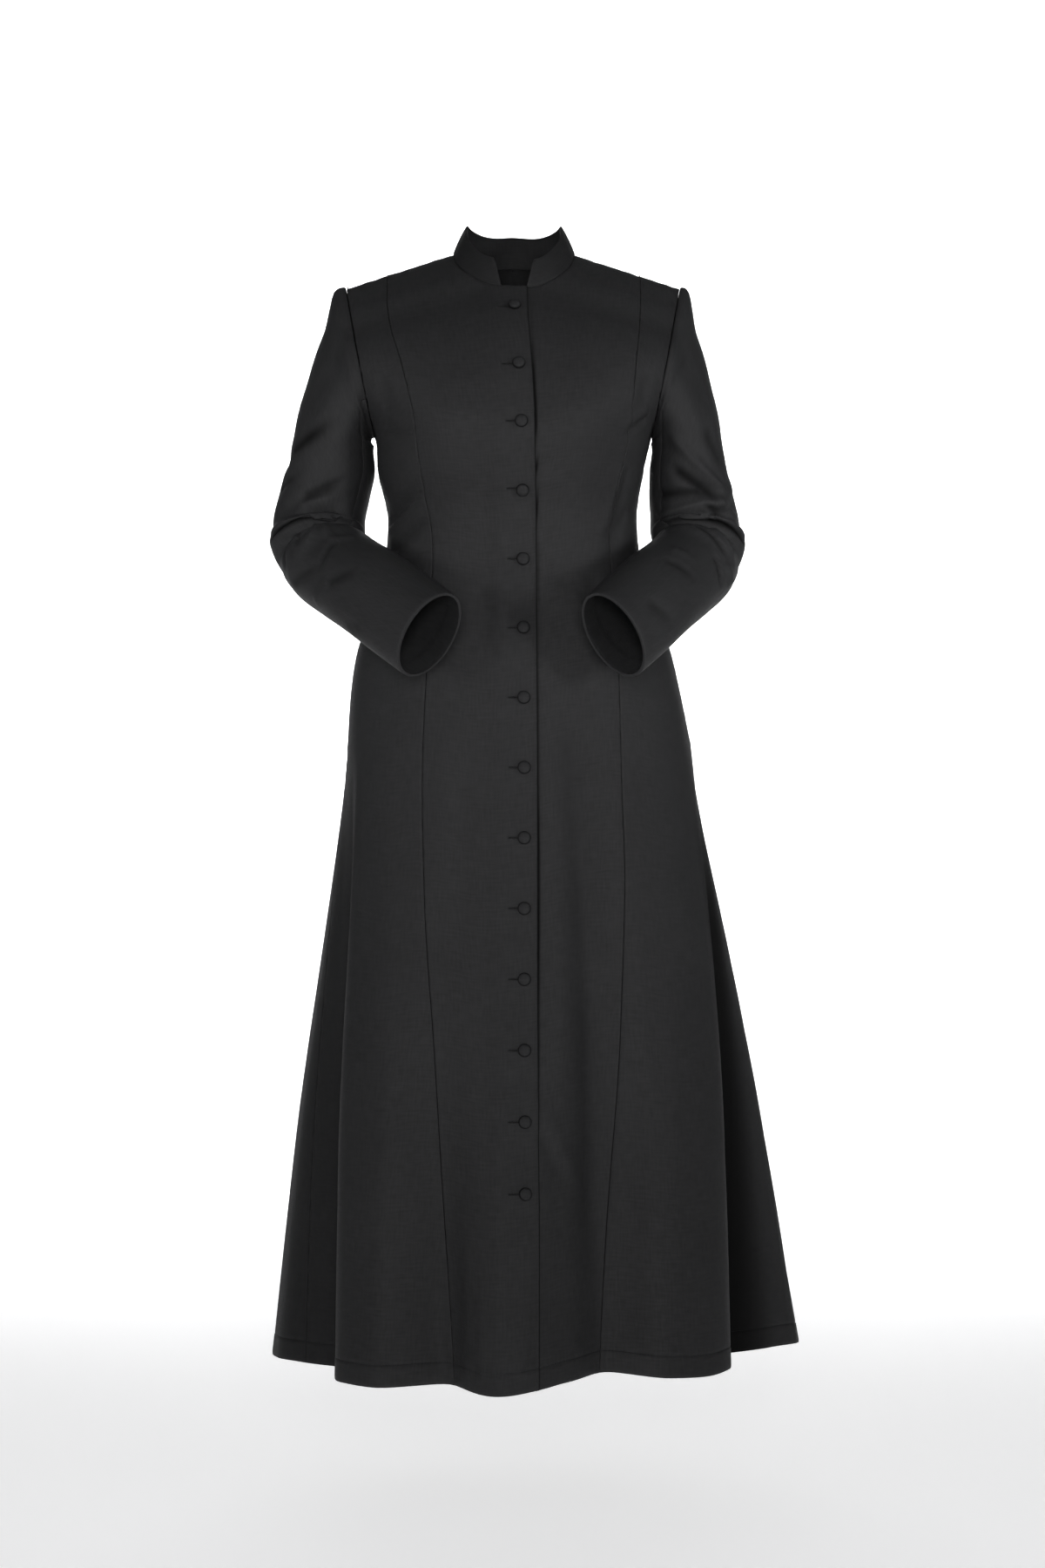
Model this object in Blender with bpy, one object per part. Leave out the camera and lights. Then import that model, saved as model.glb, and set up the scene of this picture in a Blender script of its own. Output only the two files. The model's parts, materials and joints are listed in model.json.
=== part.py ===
"""Fitted single-breasted cassock, as it hangs when it is worn, with nobody in it.

Run with: blender --background --python part.py

Metres, +Z up, the front faces -Y and +X is the wearer's left. The origin is at the base of
the neck, where the wearer's shoulders carry the cloth. Every panel is a wall of cloth, worked
out from one body surface: rings of named sizes, girth folds, and seam lines laid on it.
"""

import math

import bmesh
import bpy
import numpy as np
from mathutils import Quaternion, Vector
from mathutils.bvhtree import BVHTree

# ---------------------------------------------------------------- driving sizes
CLOTH = 0.0020  # thickness of the gaberdine wall
COLLAR_CLOTH = 0.0028  # the stand collar is two layers and an interlining
SEAM_GAP = 0.0003  # between pieces that are sewn together
LAP_LIFT = CLOTH + 0.0010  # the buttonhole side lies on the button side
LAP_OVER = 0.0155  # from the button line to the front edge of the top layer
LAP_UNDER = 0.020  # from the button line to the edge of the under layer
LAP_EASE = 0.026  # width over which the top layer comes down again

BUTTON_DIAMETER = 0.0152  # 24 ligne
BUTTON_HEIGHT = 0.0056
BUTTON_SIDES = 16
FIRST_BUTTON_Z = -0.0548
BUTTON_RUNS = ((1, 0.0706), (1, 0.0670), (1, 0.0765), (10, 0.0801))  # count and pitch, going down

SQUARENESS = 2.3  # exponent of every oval ring
SHOULDER_DROP = 0.3256  # fall of the shoulder line per metre outwards
SHOULDER_ROUND = 0.020  # rounds that fall off at the middle of the neck

NECK_HALF_WIDTH = 0.072
NECK_FRONT = 0.066
NECK_BACK = 0.068
COLLAR_TOP_HALF_WIDTH = 0.0565
COLLAR_TOP_FRONT = 0.0600
COLLAR_TOP_BACK = 0.0600
COLLAR_FRONT_RISE = 0.0335  # height of the collar at its front ends
COLLAR_BACK_RISE = 0.0370
NOTCH_HALF_TOP = 0.0218  # half of the collar's open front, at its top

ARMHOLE_LEAN = 0.192  # outward lean of the armhole, per metre upwards

# Body rings from the hem up. sway moves a ring sideways, shear tips it along the shoulder,
# steps is the number of wall rows up to the next ring.
BODY_RINGS = (
    # z,      half,   front,  back,   sway,    shear, steps
    (-1.2850, 0.2800, 0.2200, 0.2750, 0.0270, 0.00, 3),
    (-1.0000, 0.2580, 0.1980, 0.2400, 0.0207, 0.00, 2),
    (-0.8000, 0.2350, 0.1780, 0.2050, 0.0165, 0.00, 2),
    (-0.6080, 0.2086, 0.1580, 0.1720, 0.0090, 0.00, 2),
    (-0.4635, 0.1880, 0.1400, 0.1500, 0.0002, 0.00, 1),
    (-0.4000, 0.1680, 0.1270, 0.1280, -0.0010, 0.00, 2),
    (-0.3350, 0.1495, 0.1180, 0.1050, -0.0016, 0.00, 1),
    (-0.2970, 0.1470, 0.1210, 0.1030, -0.0020, 0.00, 1),
    (-0.2420, 0.1565, 0.1360, 0.1100, -0.0040, 0.00, 1),
    (-0.2000, 0.1630, 0.1420, 0.1180, -0.0010, 0.00, 0),
    (-0.1500, 0.1900, 0.1335, 0.1270, -0.0010, 0.15, 0),
    (-0.1000, 0.2150, 0.1145, 0.1280, -0.0012, 0.40, 0),
    (-0.0600, 0.2280, 0.0915, 0.1200, -0.0013, 0.65, 0),
    (-0.0270, 0.2320, 0.0650, 0.1040, -0.0013, 0.85, 0),
    (0.0000, 0.2330, 0.0460, 0.0810, -0.0013, 0.96, 0),
    (0.0180, 0.2330, 0.0270, 0.0540, -0.0013, 1.00, 0),
    (0.0300, 0.2330, 0.0120, 0.0260, -0.0013, 1.00, 0),
    (0.0363, 0.2330, 0.0000, 0.0000, -0.0013, 1.00, 0),
)
RING_COLUMNS = ("z", "half", "front", "back", "sway", "shear", "steps")
UNDERARM_RING = 9  # index of the ring at the bottom of the armholes
YOKE_ROWS = 9  # wall rows from the underarm up to the shoulder or the neck

# Fullness of the bust, on each side of the centre: place, spread and reach.
BUST = {"x": 0.085, "z": -0.195, "spread": 0.055, "reach": 0.010}

# Folds round the skirt, a row for each ridge or valley. Angles run from the centre front
# (0) to the wearer's left (90) and the back (180); reach is how far it stands out at the hem.
SKIRT_FOLDS = (
    # hem_angle, top_angle, reach, top_z, drop
    (-180.0, -180.0, 0.004, -0.42, 0.000),
    (-166.0, -168.0, 0.016, -0.42, 0.001),
    (-151.0, -154.0, -0.024, -0.42, 0.000),
    (-136.0, -140.0, 0.022, -0.44, 0.002),
    (-119.0, -122.0, -0.020, -0.50, 0.000),
    (-96.0, -98.0, 0.037, -0.56, 0.002),
    (-82.0, -88.0, 0.000, -0.56, 0.000),
    (-67.0, -82.0, -0.040, -0.56, 0.000),
    (-57.0, -76.0, -0.050, -0.56, 0.000),
    (-48.0, -68.0, 0.018, -0.56, 0.000),
    (-42.0, -60.0, 0.034, -0.56, 0.000),
    (-31.0, -42.0, 0.042, -0.60, 0.001),
    (-19.0, -22.0, -0.004, -0.66, 0.000),
    (-6.0, -6.0, 0.034, -0.86, 0.007),
    (5.0, 5.0, -0.010, -0.86, -0.002),
    (18.0, 15.0, -0.052, -0.48, -0.007),
    (32.0, 30.0, -0.018, -0.56, -0.002),
    (45.0, 50.0, -0.018, -0.56, 0.000),
    (60.0, 78.0, -0.026, -0.56, -0.003),
    (67.0, 82.0, -0.068, -0.56, 0.000),
    (76.0, 86.0, -0.092, -0.56, 0.000),
    (88.0, 92.0, -0.088, -0.56, 0.000),
    (103.0, 100.0, 0.010, -0.56, 0.000),
    (111.0, 108.0, 0.060, -0.56, 0.002),
    (124.0, 122.0, -0.010, -0.52, 0.000),
    (137.0, 140.0, 0.022, -0.44, 0.002),
    (152.0, 154.0, -0.022, -0.42, 0.000),
    (167.0, 168.0, 0.015, -0.42, 0.001),
)
FOLD_GROWTH = 1.15  # folds deepen a little faster than straight lines
FOLD_TURN = 0.60  # and take up their hem angles early

# Seam lines by height: sideways places of the button line and of the front princess seams,
# half the width between the back princess seams, and the girth angle of the side seams.
SEAM_LINES = (
    # z,     button, left,   right,   back,  side_angle
    (-1.285, 0.0125, 0.1175, -0.0670, 0.150, 80.0),
    (-1.100, 0.0125, 0.1240, -0.0800, 0.142, 82.0),
    (-0.900, 0.0122, 0.1305, -0.0910, 0.130, 84.0),
    (-0.740, 0.0120, 0.1300, -0.1010, 0.118, 87.0),
    (-0.600, 0.0120, 0.1240, -0.1050, 0.106, 89.0),
    (-0.465, 0.0112, 0.1205, -0.1000, 0.092, 90.0),
    (-0.335, 0.0105, 0.1125, -0.0940, 0.074, 90.0),
    (-0.268, 0.0100, 0.1190, -0.1040, 0.078, 90.0),
    (-0.225, 0.0095, 0.1300, -0.1110, 0.083, 90.0),
    (-0.180, 0.0088, 0.1370, -0.1160, 0.090, 90.0),
    (-0.144, 0.0070, 0.1395, -0.1230, 0.098, 90.0),
    (-0.100, 0.0040, 0.1420, -0.1320, 0.110, 90.0),
    (-0.050, 0.0006, 0.1460, -0.1430, 0.128, 90.0),
    (0.000, 0.0000, 0.1485, -0.1490, 0.1475, 90.0),
    (0.040, 0.0000, 0.1490, -0.1500, 0.1490, 90.0),
)
SEAM_COLUMNS = ("z", "button", "left", "right", "back", "side_angle")

# Left sleeve, from the armhole to the cuff; the right one mirrors it and adds its sway.
# turn swings a ring from upright at the armhole to across the arm, bend turns it through the
# elbow, loop is how far it keeps the armhole's own outline, roll turns the flat of the oval
# and fuller is how much wider the wearer's right sleeve hangs.
SLEEVE_BEND_AXIS = (-0.826, 0.556, -0.087)
SLEEVE_RINGS = (
    # x,      y,      z,       turn,  bend, across, deep,   roll,  loop, sway,    fuller, steps
    (0.1804, 0.000, -0.1093, 10.87, 0.0, 0.0924, 0.0795, 0.0, 1.00, -0.0010, 0.0000, 1),
    (0.1845, 0.000, -0.1100, 12.46, 0.0, 0.0927, 0.0795, 0.0, 0.98, -0.0020, 0.0000, 1),
    (0.1878, 0.000, -0.1133, 14.53, 0.0, 0.0907, 0.0790, 0.0, 0.94, -0.0028, 0.0005, 1),
    (0.1901, 0.000, -0.1233, 17.65, 0.0, 0.0821, 0.0780, 0.0, 0.88, -0.0032, 0.0010, 1),
    (0.1924, 0.001, -0.1356, 22.14, 0.0, 0.0719, 0.0760, 0.0, 0.76, -0.0036, 0.0014, 1),
    (0.1977, 0.002, -0.1515, 32.10, 0.0, 0.0608, 0.0725, 0.0, 0.54, -0.0038, 0.0018, 2),
    (0.2033, 0.003, -0.1740, 50.97, 0.0, 0.0492, 0.0680, 0.0, 0.27, -0.0042, 0.0024, 1),
    (0.2085, 0.004, -0.2025, 77.80, 0.0, 0.0450, 0.0640, 0.0, 0.08, -0.0046, 0.0030, 1),
    (0.2110, 0.006, -0.2325, 84.00, 0.0, 0.0487, 0.0620, 0.0, 0.00, -0.0055, 0.0035, 1),
    (0.2168, 0.010, -0.2660, 84.00, 3.0, 0.0514, 0.0600, 0.0, 0.00, -0.0075, 0.0020, 1),
    (0.2225, 0.009, -0.2990, 84.00, 12.0, 0.0535, 0.0590, -6.0, 0.00, -0.0085, 0.0010, 4),
    (0.2230, -0.004, -0.3265, 84.00, 34.0, 0.0545, 0.0570, -14.0, 0.00, -0.0065, 0.0000, 4),
    (0.2125, -0.037, -0.3500, 84.00, 56.0, 0.0530, 0.0520, -22.0, 0.00, -0.0030, 0.0000, 2),
    (0.1900, -0.083, -0.3692, 84.00, 67.0, 0.0530, 0.0460, -27.0, 0.00, 0.0000, 0.0000, 2),
    (0.1640, -0.129, -0.3885, 84.00, 69.0, 0.0535, 0.0425, -28.0, 0.00, 0.0025, 0.0000, 1),
    (0.1345, -0.169, -0.4135, 84.00, 69.0, 0.0538, 0.0385, -32.0, 0.00, 0.0058, 0.0000, 1),
    (0.1036, -0.207, -0.4397, 84.00, 69.0, 0.0535, 0.0340, -42.0, 0.00, 0.0088, 0.0000, 0),
)
SLEEVE_COLUMNS = (
    "x", "y", "z", "turn", "bend", "across", "deep", "roll", "loop", "sway", "fuller", "steps",
)
FRONT_SLEEVE_SEAM = 7  # column of the seam in the crook of the arm, 20 degrees a column
BACK_SLEEVE_SEAM = 15  # column of the seam behind the elbow

# The largest folds of each sleeve: place along the arm in ring numbers, the angle round it
# (0 outer side, 90 front), how far each runs either way, its slant and arch, and its depth.
SLEEVE_FOLDS = (
    # side, ring, angle, half_ring, half_angle, slant, arch, depth
    ("both", 11.15, 80.0, 0.46, 135.0, 0.10, 0.65, -0.0120),
    ("both", 10.55, 65.0, 0.54, 140.0, 0.05, 0.60, 0.0070),
    ("both", 12.00, 80.0, 0.55, 110.0, 0.20, 0.60, 0.0045),
    ("right", 9.60, 60.0, 0.60, 60.0, -0.50, 0.0, -0.0035),
    ("left", 10.00, 60.0, 0.45, 60.0, 0.55, 0.0, -0.0040),
    ("left", 9.30, 45.0, 0.45, 60.0, 0.80, 0.0, 0.0035),
)

COLOURS = {
    # linear colour, roughness
    "cloth": ((0.020, 0.020, 0.021), 0.78),
    "collar": ((0.021, 0.021, 0.022), 0.75),
    "button": ((0.017, 0.017, 0.018), 0.70),
}


# ---------------------------------------------------------------- curves through tables
def smooth(knots, values, at):
    """A smooth curve through the knots, with no overshoot, read at any number of places.

    knots and values are either one list, or hold a list for each place.
    """
    at = np.asarray(at, float)
    knots, values = np.asarray(knots, float), np.asarray(values, float)
    if knots.ndim == 1:
        shape = (len(knots),) + (1,) * at.ndim
        knots, values = knots.reshape(shape), values.reshape(shape)
    gaps = np.diff(knots, axis=0)
    slopes = np.diff(values, axis=0) / gaps
    before = 2 * gaps[1:] + gaps[:-1]
    after = gaps[1:] + 2 * gaps[:-1]
    below, above = slopes[:-1], slopes[1:]
    same_way = below * above > 0
    weighted = np.where(same_way, before * above + after * below, 1.0)
    middle = np.where(same_way, (before + after) * below * above / weighted, 0.0)
    tangents = np.concatenate([slopes[:1], middle, slopes[-1:]])

    at = np.clip(at, knots[0], knots[-1])
    cell = np.clip((knots <= at).sum(axis=0) - 1, 0, len(gaps) - 1)

    def pick(array, index):
        spread = np.broadcast_to(array, (len(array),) + at.shape)
        return np.take_along_axis(spread, index[None], axis=0)[0]

    width = pick(gaps, cell)
    share = (at - pick(knots, cell)) / width
    level = pick(values, cell) * (1 + 2 * share) * (1 - share) ** 2
    level += pick(values, cell + 1) * share**2 * (3 - 2 * share)
    lean = pick(tangents, cell) * share * (1 - share) ** 2
    lean -= pick(tangents, cell + 1) * share**2 * (1 - share)
    return level + lean * width


def columns_of(table, names):
    """The table as a dict of its named columns."""
    return {name: np.array([row[k] for row in table], float) for k, name in enumerate(names)}


RINGS = columns_of(BODY_RINGS, RING_COLUMNS)
SEAMS = columns_of(SEAM_LINES, SEAM_COLUMNS)
SLEEVE = columns_of(SLEEVE_RINGS, SLEEVE_COLUMNS)
# Distance up the front of the body: the coordinate t that runs from hem to shoulder.
CLIMB = np.concatenate(
    [[0.0], np.cumsum(np.hypot(np.diff(RINGS["z"]), np.diff(RINGS["front"])))]
)
UNDERARM_T = CLIMB[UNDERARM_RING]
SHOULDER_T = CLIMB[-1]


def ring(name, t):
    return smooth(CLIMB, RINGS[name], t)


def seam(name, z):
    return smooth(SEAMS["z"], SEAMS[name], z)


def signed_power(value, power):
    return np.sign(value) * np.abs(value) ** power


# ---------------------------------------------------------------- the body surface
def fold_offset(degrees, z):
    """How far the skirt's folds move the wall outwards, and how far its hem drops."""
    low = RINGS["z"][0]
    angles, reaches, drops = [], [], []
    for hem_angle, top_angle, reach, top_z, drop in SKIRT_FOLDS:
        grown = np.clip((top_z - z) / (top_z - low), 0.0, 1.0)
        angles.append(top_angle + (hem_angle - top_angle) * grown**FOLD_TURN)
        reaches.append(reach * grown**FOLD_GROWTH)
        drops.append(drop * grown**2)
    # the first knots are repeated a turn on, and the last one a turn back, to close the ring
    angles = [angles[-1] - 360.0] + angles + [angles[0] + 360.0, angles[1] + 360.0]
    wrapped = (degrees + 180.0) % 360.0 - 180.0
    out = smooth(angles, [reaches[-1]] + reaches + reaches[:2], wrapped)
    down = smooth(angles, [drops[-1]] + drops + drops[:2], wrapped)
    return out, down


def body_points(degrees, t):
    """The outer surface at girth angles and at distances t up from the hem."""
    degrees, t = np.broadcast_arrays(np.asarray(degrees, float), np.asarray(t, float))
    sine, cosine = np.sin(np.radians(degrees)), np.cos(np.radians(degrees))
    sway, height = ring("sway", t), ring("z", t)
    depth = np.where(cosine >= 0, ring("front", t), ring("back", t))
    x = ring("half", t) * signed_power(sine, 2.0 / SQUARENESS)
    y = -depth * signed_power(cosine, 2.0 / SQUARENESS)
    beside = ((np.abs(x) - BUST["x"]) ** 2 + (height - BUST["z"]) ** 2) / BUST["spread"] ** 2
    y -= BUST["reach"] * np.exp(-beside) * np.clip(cosine, 0.0, 1.0)
    out, down = fold_offset(degrees, height)
    away = np.maximum(np.hypot(x, y), 1e-6)
    x, y = x + out * x / away, y + out * y / away
    fall = SHOULDER_DROP * ring("shear", t) * (np.hypot(x, SHOULDER_ROUND) - SHOULDER_ROUND)
    return np.stack([x + sway, y, height - fall - down], axis=-1)


def unit(vectors):
    return vectors / np.linalg.norm(vectors, axis=-1, keepdims=True)


def body_normals(degrees, t):
    """Unit outward normals of the body surface; the shoulder's crest has one for both sides."""
    turn, climb = 0.4, 0.0015
    low, high = np.maximum(t - climb, 0.0), np.minimum(t + climb, SHOULDER_T)
    around = body_points(degrees + turn, t) - body_points(degrees - turn, t)
    up = body_points(degrees, high) - body_points(degrees, low)
    normals = np.cross(around, up)
    crest = t > SHOULDER_T - climb
    normals[..., 1] = np.where(crest, 0.0, normals[..., 1])
    return unit(normals)


def angle_at_x(x, t, back=False):
    """The girth angle at which the ring at t is at sideways place x."""
    share = np.clip((x - ring("sway", t)) / ring("half", t), -1.0, 1.0)
    degrees = np.degrees(np.arcsin(signed_power(share, SQUARENESS / 2.0)))
    return np.where(share < 0, -180.0, 180.0) - degrees if back else degrees


def side_angle(side, t, back):
    """Where the side seam runs and, above the underarm, the edge of the armhole."""
    fall = SHOULDER_DROP * ring("shear", t)
    rise = ring("z", t) - RINGS["z"][UNDERARM_RING] + fall * SHOULDER_ROUND
    edge = (RINGS["half"][UNDERARM_RING] + ARMHOLE_LEAN * rise) / (1.0 + ARMHOLE_LEAN * fall)
    armhole = angle_at_x(side * edge + ring("sway", t), t, back)
    return np.where(t <= UNDERARM_T, side * seam("side_angle", ring("z", t)), armhole)


def princess_angle(side, t, back):
    height = ring("z", t)
    if back:
        return angle_at_x(side * seam("back", height), t, True)
    return angle_at_x(seam("left" if side > 0 else "right", height), t)


def button_line_angle(t, beyond):
    """The front at a distance beyond the button line, towards the wearer's left."""
    return angle_at_x(seam("button", ring("z", t)) + beyond, t)


# ---------------------------------------------------------------- laying out a panel
def inside_neck(points):
    depth = np.where(points[..., 1] < 0, NECK_FRONT, NECK_BACK)
    return (points[..., 0] / NECK_HALF_WIDTH) ** 2 + (points[..., 1] / depth) ** 2 < 1.0


def column_tops(angle_of, count):
    """How far up each column runs: to the shoulder, or to where the neck opening cuts it."""
    low, high = np.full(count, UNDERARM_T), np.full(count, SHOULDER_T)
    cut = inside_neck(body_points(angle_of(high), high))
    for _ in range(40):
        middle = 0.5 * (low + high)
        inside = inside_neck(body_points(angle_of(middle), middle))
        low, high = np.where(inside, low, middle), np.where(inside, middle, high)
    return np.where(cut, low, SHOULDER_T)


def yoke_shares():
    """Row spacing above the underarm: closer together at both ends."""
    even = np.linspace(0.0, 1.0, YOKE_ROWS + 1)
    return even - 0.06 * np.sin(2 * math.pi * even)


def rows_below_underarm():
    rows = []
    for k in range(UNDERARM_RING):
        rows += list(np.linspace(CLIMB[k], CLIMB[k + 1], int(RINGS["steps"][k]) + 1)[:-1])
    return np.array(rows)


def lay_panel(start, end, shares, lift=None):
    """Outer and inner points of a panel, as grids of rows by columns.

    start and end give the girth angles of its two edges at t; shares place its columns.
    """
    shares = np.asarray(shares)

    def angle_of(t):
        first = start(t)
        return first + shares * (end(t) - first)

    tops = column_tops(angle_of, len(shares))
    low = rows_below_underarm()[:, None] + np.zeros(len(shares))
    t = np.vstack([low, UNDERARM_T + yoke_shares()[:, None] * (tops - UNDERARM_T)])
    degrees = angle_of(t)
    outer, normals = body_points(degrees, t), body_normals(degrees, t)
    if lift:
        outer = outer + normals * lift(outer)[..., None]
    return outer, outer - normals * CLOTH


def draw_in(outer, inner, sides):
    """Moves the sewn edges back by half the seam gap, along the cloth."""
    places = {
        "first": ((slice(None), 0), (slice(None), 1)),
        "last": ((slice(None), -1), (slice(None), -2)),
        "top": ((-1, slice(None)), (-2, slice(None))),
    }
    for side in sides:
        edge, beside = places[side]
        along = unit(outer[beside] - outer[edge]) * 0.5 * SEAM_GAP
        outer[edge] += along
        inner[edge] += along


# ---------------------------------------------------------------- meshes and objects
def material(name, kind):
    """A piece's own Principled material, in the colour of its kind of cloth."""
    colour, roughness = COLOURS[kind]
    made = bpy.data.materials.new(name)
    made.use_nodes = True
    shader = made.node_tree.nodes["Principled BSDF"]
    shader.inputs["Base Color"].default_value = (*colour, 1.0)
    shader.inputs["Roughness"].default_value = roughness
    shader.inputs["Metallic"].default_value = 0.0
    made.diffuse_color = (*colour, 1.0)
    return made


def cloth_wall(name, outer, inner, kind, collection):
    """A closed wall between two grids of points: the face, the back and the cut edges."""
    rows, columns = outer.shape[:2]
    shell = bmesh.new()
    face = [[shell.verts.new(outer[r, c]) for c in range(columns)] for r in range(rows)]
    back = [[shell.verts.new(inner[r, c]) for c in range(columns)] for r in range(rows)]
    for r in range(rows - 1):  # both sides of the wall are split along the same diagonals
        for c in range(columns - 1):
            shell.faces.new((face[r][c], face[r][c + 1], face[r + 1][c + 1]))
            shell.faces.new((face[r][c], face[r + 1][c + 1], face[r + 1][c]))
            shell.faces.new((back[r + 1][c + 1], back[r][c + 1], back[r][c]))
            shell.faces.new((back[r + 1][c], back[r + 1][c + 1], back[r][c]))
    for c in range(columns - 1):
        shell.faces.new((back[0][c], back[0][c + 1], face[0][c + 1], face[0][c]))
        shell.faces.new((face[-1][c], face[-1][c + 1], back[-1][c + 1], back[-1][c]))
    for r in range(rows - 1):  # split one way, so that two sewn edges twist together
        shell.faces.new((face[r][0], face[r + 1][0], back[r + 1][0]))
        shell.faces.new((face[r][0], back[r + 1][0], back[r][0]))
        shell.faces.new((face[r][-1], back[r + 1][-1], face[r + 1][-1]))
        shell.faces.new((face[r][-1], back[r][-1], back[r + 1][-1]))
    bmesh.ops.recalc_face_normals(shell, faces=shell.faces)
    mesh = bpy.data.meshes.new(name)
    shell.to_mesh(mesh)
    shell.free()
    mesh.shade_smooth()
    mesh.set_sharp_from_angle(angle=math.radians(50))
    mesh.materials.append(material(name, kind))
    made = bpy.data.objects.new(name, mesh)
    collection.objects.link(made)
    return made


# ---------------------------------------------------------------- body panels
def shares(*runs):
    """Width shares from runs of (end share, steps), starting at 0."""
    out, start = [0.0], 0.0
    for end, steps in runs:
        out += [start + (end - start) * (j + 1) / steps for j in range(steps)]
        start = end
    return out


def neck_share(start, end, side, back):
    """The share of a panel's width, at the shoulder, that the neck opening takes."""
    first, last = start(SHOULDER_T), end(SHOULDER_T)
    return float((angle_at_x(side * NECK_HALF_WIDTH, SHOULDER_T, back) - first) / (last - first))


def lap_lift(points):
    """Height of the buttonhole side over the button side near the front edge."""
    line = seam("button", points[..., 2])
    share = (points[..., 0] - line + LAP_UNDER + LAP_EASE) / (LAP_EASE - 0.002)
    share = np.clip(share, 0.0, 1.0)
    return LAP_LIFT * share**2 * (3.0 - 2.0 * share)


def front_panels(collection):
    """Both centre fronts: the buttonhole side laps over the button side.

    Gives both panels, and the neck edges of both from the collar's ends to the shoulder.
    """
    panels, necks = [], []
    for side, name, beyond, collar_end in (
        (-1, "front_right", LAP_OVER, 0.295), (1, "front_left", -LAP_UNDER, 0.318),
    ):
        def start(t, beyond=beyond):
            return button_line_angle(t, beyond)

        def end(t, side=side):
            return princess_angle(side, t, False)

        neck = neck_share(start, end, side, False)
        columns = shares((collar_end * neck, 2), (neck, 4), (1.0, 3))
        outer, inner = lay_panel(start, end, columns, lap_lift if side < 0 else None)
        necks.append(outer[-1, 2:7].copy())
        draw_in(outer, inner, ("last", "top"))
        panels.append(cloth_wall(name, outer, inner, "cloth", collection))
    return panels, necks


def side_panels(side_name, side, collection):
    """The panels from the princess seams to the side seam and the armhole."""
    outer, inner = lay_panel(
        lambda t: princess_angle(side, t, False),
        lambda t: side_angle(side, t, False),
        shares((1.0, 10)),
    )
    draw_in(outer, inner, ("first", "last", "top"))
    cloth_wall("side_front_" + side_name, outer, inner, "cloth", collection)
    outer, inner = lay_panel(
        lambda t: side_angle(side, t, True),
        lambda t: princess_angle(side, t, True),
        shares((1.0, 10)),
    )
    draw_in(outer, inner, ("first", "last", "top"))
    cloth_wall("side_back_" + side_name, outer, inner, "cloth", collection)


def back_panel(side_name, side, collection):
    """From the centre back seam to the back princess seam. Gives its neck edge."""
    def start(t):
        return 180.0 * side + 0.0 * t

    def end(t):
        return princess_angle(side, t, True)

    neck = neck_share(start, end, side, True)
    outer, inner = lay_panel(start, end, shares((neck, 5), (1.0, 3)))
    neck_edge = outer[-1, :6].copy()
    draw_in(outer, inner, ("first", "last", "top"))
    cloth_wall("back_" + side_name, outer, inner, "cloth", collection)
    return neck_edge


# ---------------------------------------------------------------- collar
def collar(foot, collection):
    """Stand collar with an open front, standing on the neck edge from end to end."""
    rows = 4
    notch = math.asin(NOTCH_HALF_TOP / COLLAR_TOP_HALF_WIDTH)
    along = np.concatenate([[0.0], np.cumsum(np.linalg.norm(np.diff(foot, axis=0), axis=1))])
    around = notch + (2 * math.pi - 2 * notch) * along / along[-1]
    depth = np.where(np.cos(around) > 0, COLLAR_TOP_FRONT, COLLAR_TOP_BACK)
    backness = 0.5 - 0.5 * np.cos(around)
    rise = COLLAR_FRONT_RISE + (COLLAR_BACK_RISE - COLLAR_FRONT_RISE) * backness
    head = np.stack([
        -COLLAR_TOP_HALF_WIDTH * np.sin(around), -depth * np.cos(around), foot[:, 2] + rise,
    ], axis=-1)
    start = foot + unit(head - foot) * SEAM_GAP
    share = np.linspace(0.0, 1.0, rows)[:, None, None]
    outer = start + (head - start) * share
    normals = unit(np.cross(np.gradient(outer, axis=0), np.gradient(outer, axis=1)))
    cloth_wall("collar", outer, outer - normals * COLLAR_CLOTH, "collar", collection)


# ---------------------------------------------------------------- sleeves
def armhole_loop(side):
    """Points of the armhole, from the shoulder down the front and up the back."""
    t = UNDERARM_T + (SHOULDER_T - UNDERARM_T) * yoke_shares()
    front = body_points(side_angle(side, t, False), t)
    back = body_points(side_angle(side, t, True), t)
    return np.vstack([front[::-1], back[1:-1]])


def turned(vectors, axis, degrees):
    """Rotates vectors about a unit axis, each by its own angle."""
    angle = np.radians(degrees)[:, None]
    along = axis * (vectors @ axis)[:, None] * (1 - np.cos(angle))
    return vectors * np.cos(angle) + np.cross(axis, vectors) * np.sin(angle) + along


def sleeve_places():
    """Ring numbers of the wall rows, from the armhole to the cuff."""
    places = []
    for k in range(len(SLEEVE_RINGS) - 1):
        places += list(np.linspace(k, k + 1, int(SLEEVE["steps"][k]) + 1)[:-1])
    return np.array(places + [len(SLEEVE_RINGS) - 1.0])


def sleeve_folds(side_name, places, degrees):
    """Height of the sleeve's folds at places along it and angles round it."""
    height = np.zeros((len(places), len(degrees)))
    for side, at_ring, at_angle, half_ring, half_angle, slant, arch, depth in SLEEVE_FOLDS:
        if side not in ("both", side_name):
            continue
        away = ((degrees - at_angle + 180.0) % 360.0 - 180.0)[None, :] / half_angle
        middle = at_ring + slant * away + arch * away**2
        along = (places[:, None] - middle) / half_ring
        bump = np.cos(0.5 * math.pi * np.clip(along, -1, 1)) ** 2
        height += depth * bump * np.cos(0.5 * math.pi * np.clip(away, -1, 1)) ** 2
    return height


def tube_normals(grid):
    """Outward normals of a tube of rings whose columns run round from outside to front."""
    around = np.roll(grid, -1, axis=1) - np.roll(grid, 1, axis=1)
    return unit(np.cross(around, np.gradient(grid, axis=0)))


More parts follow.
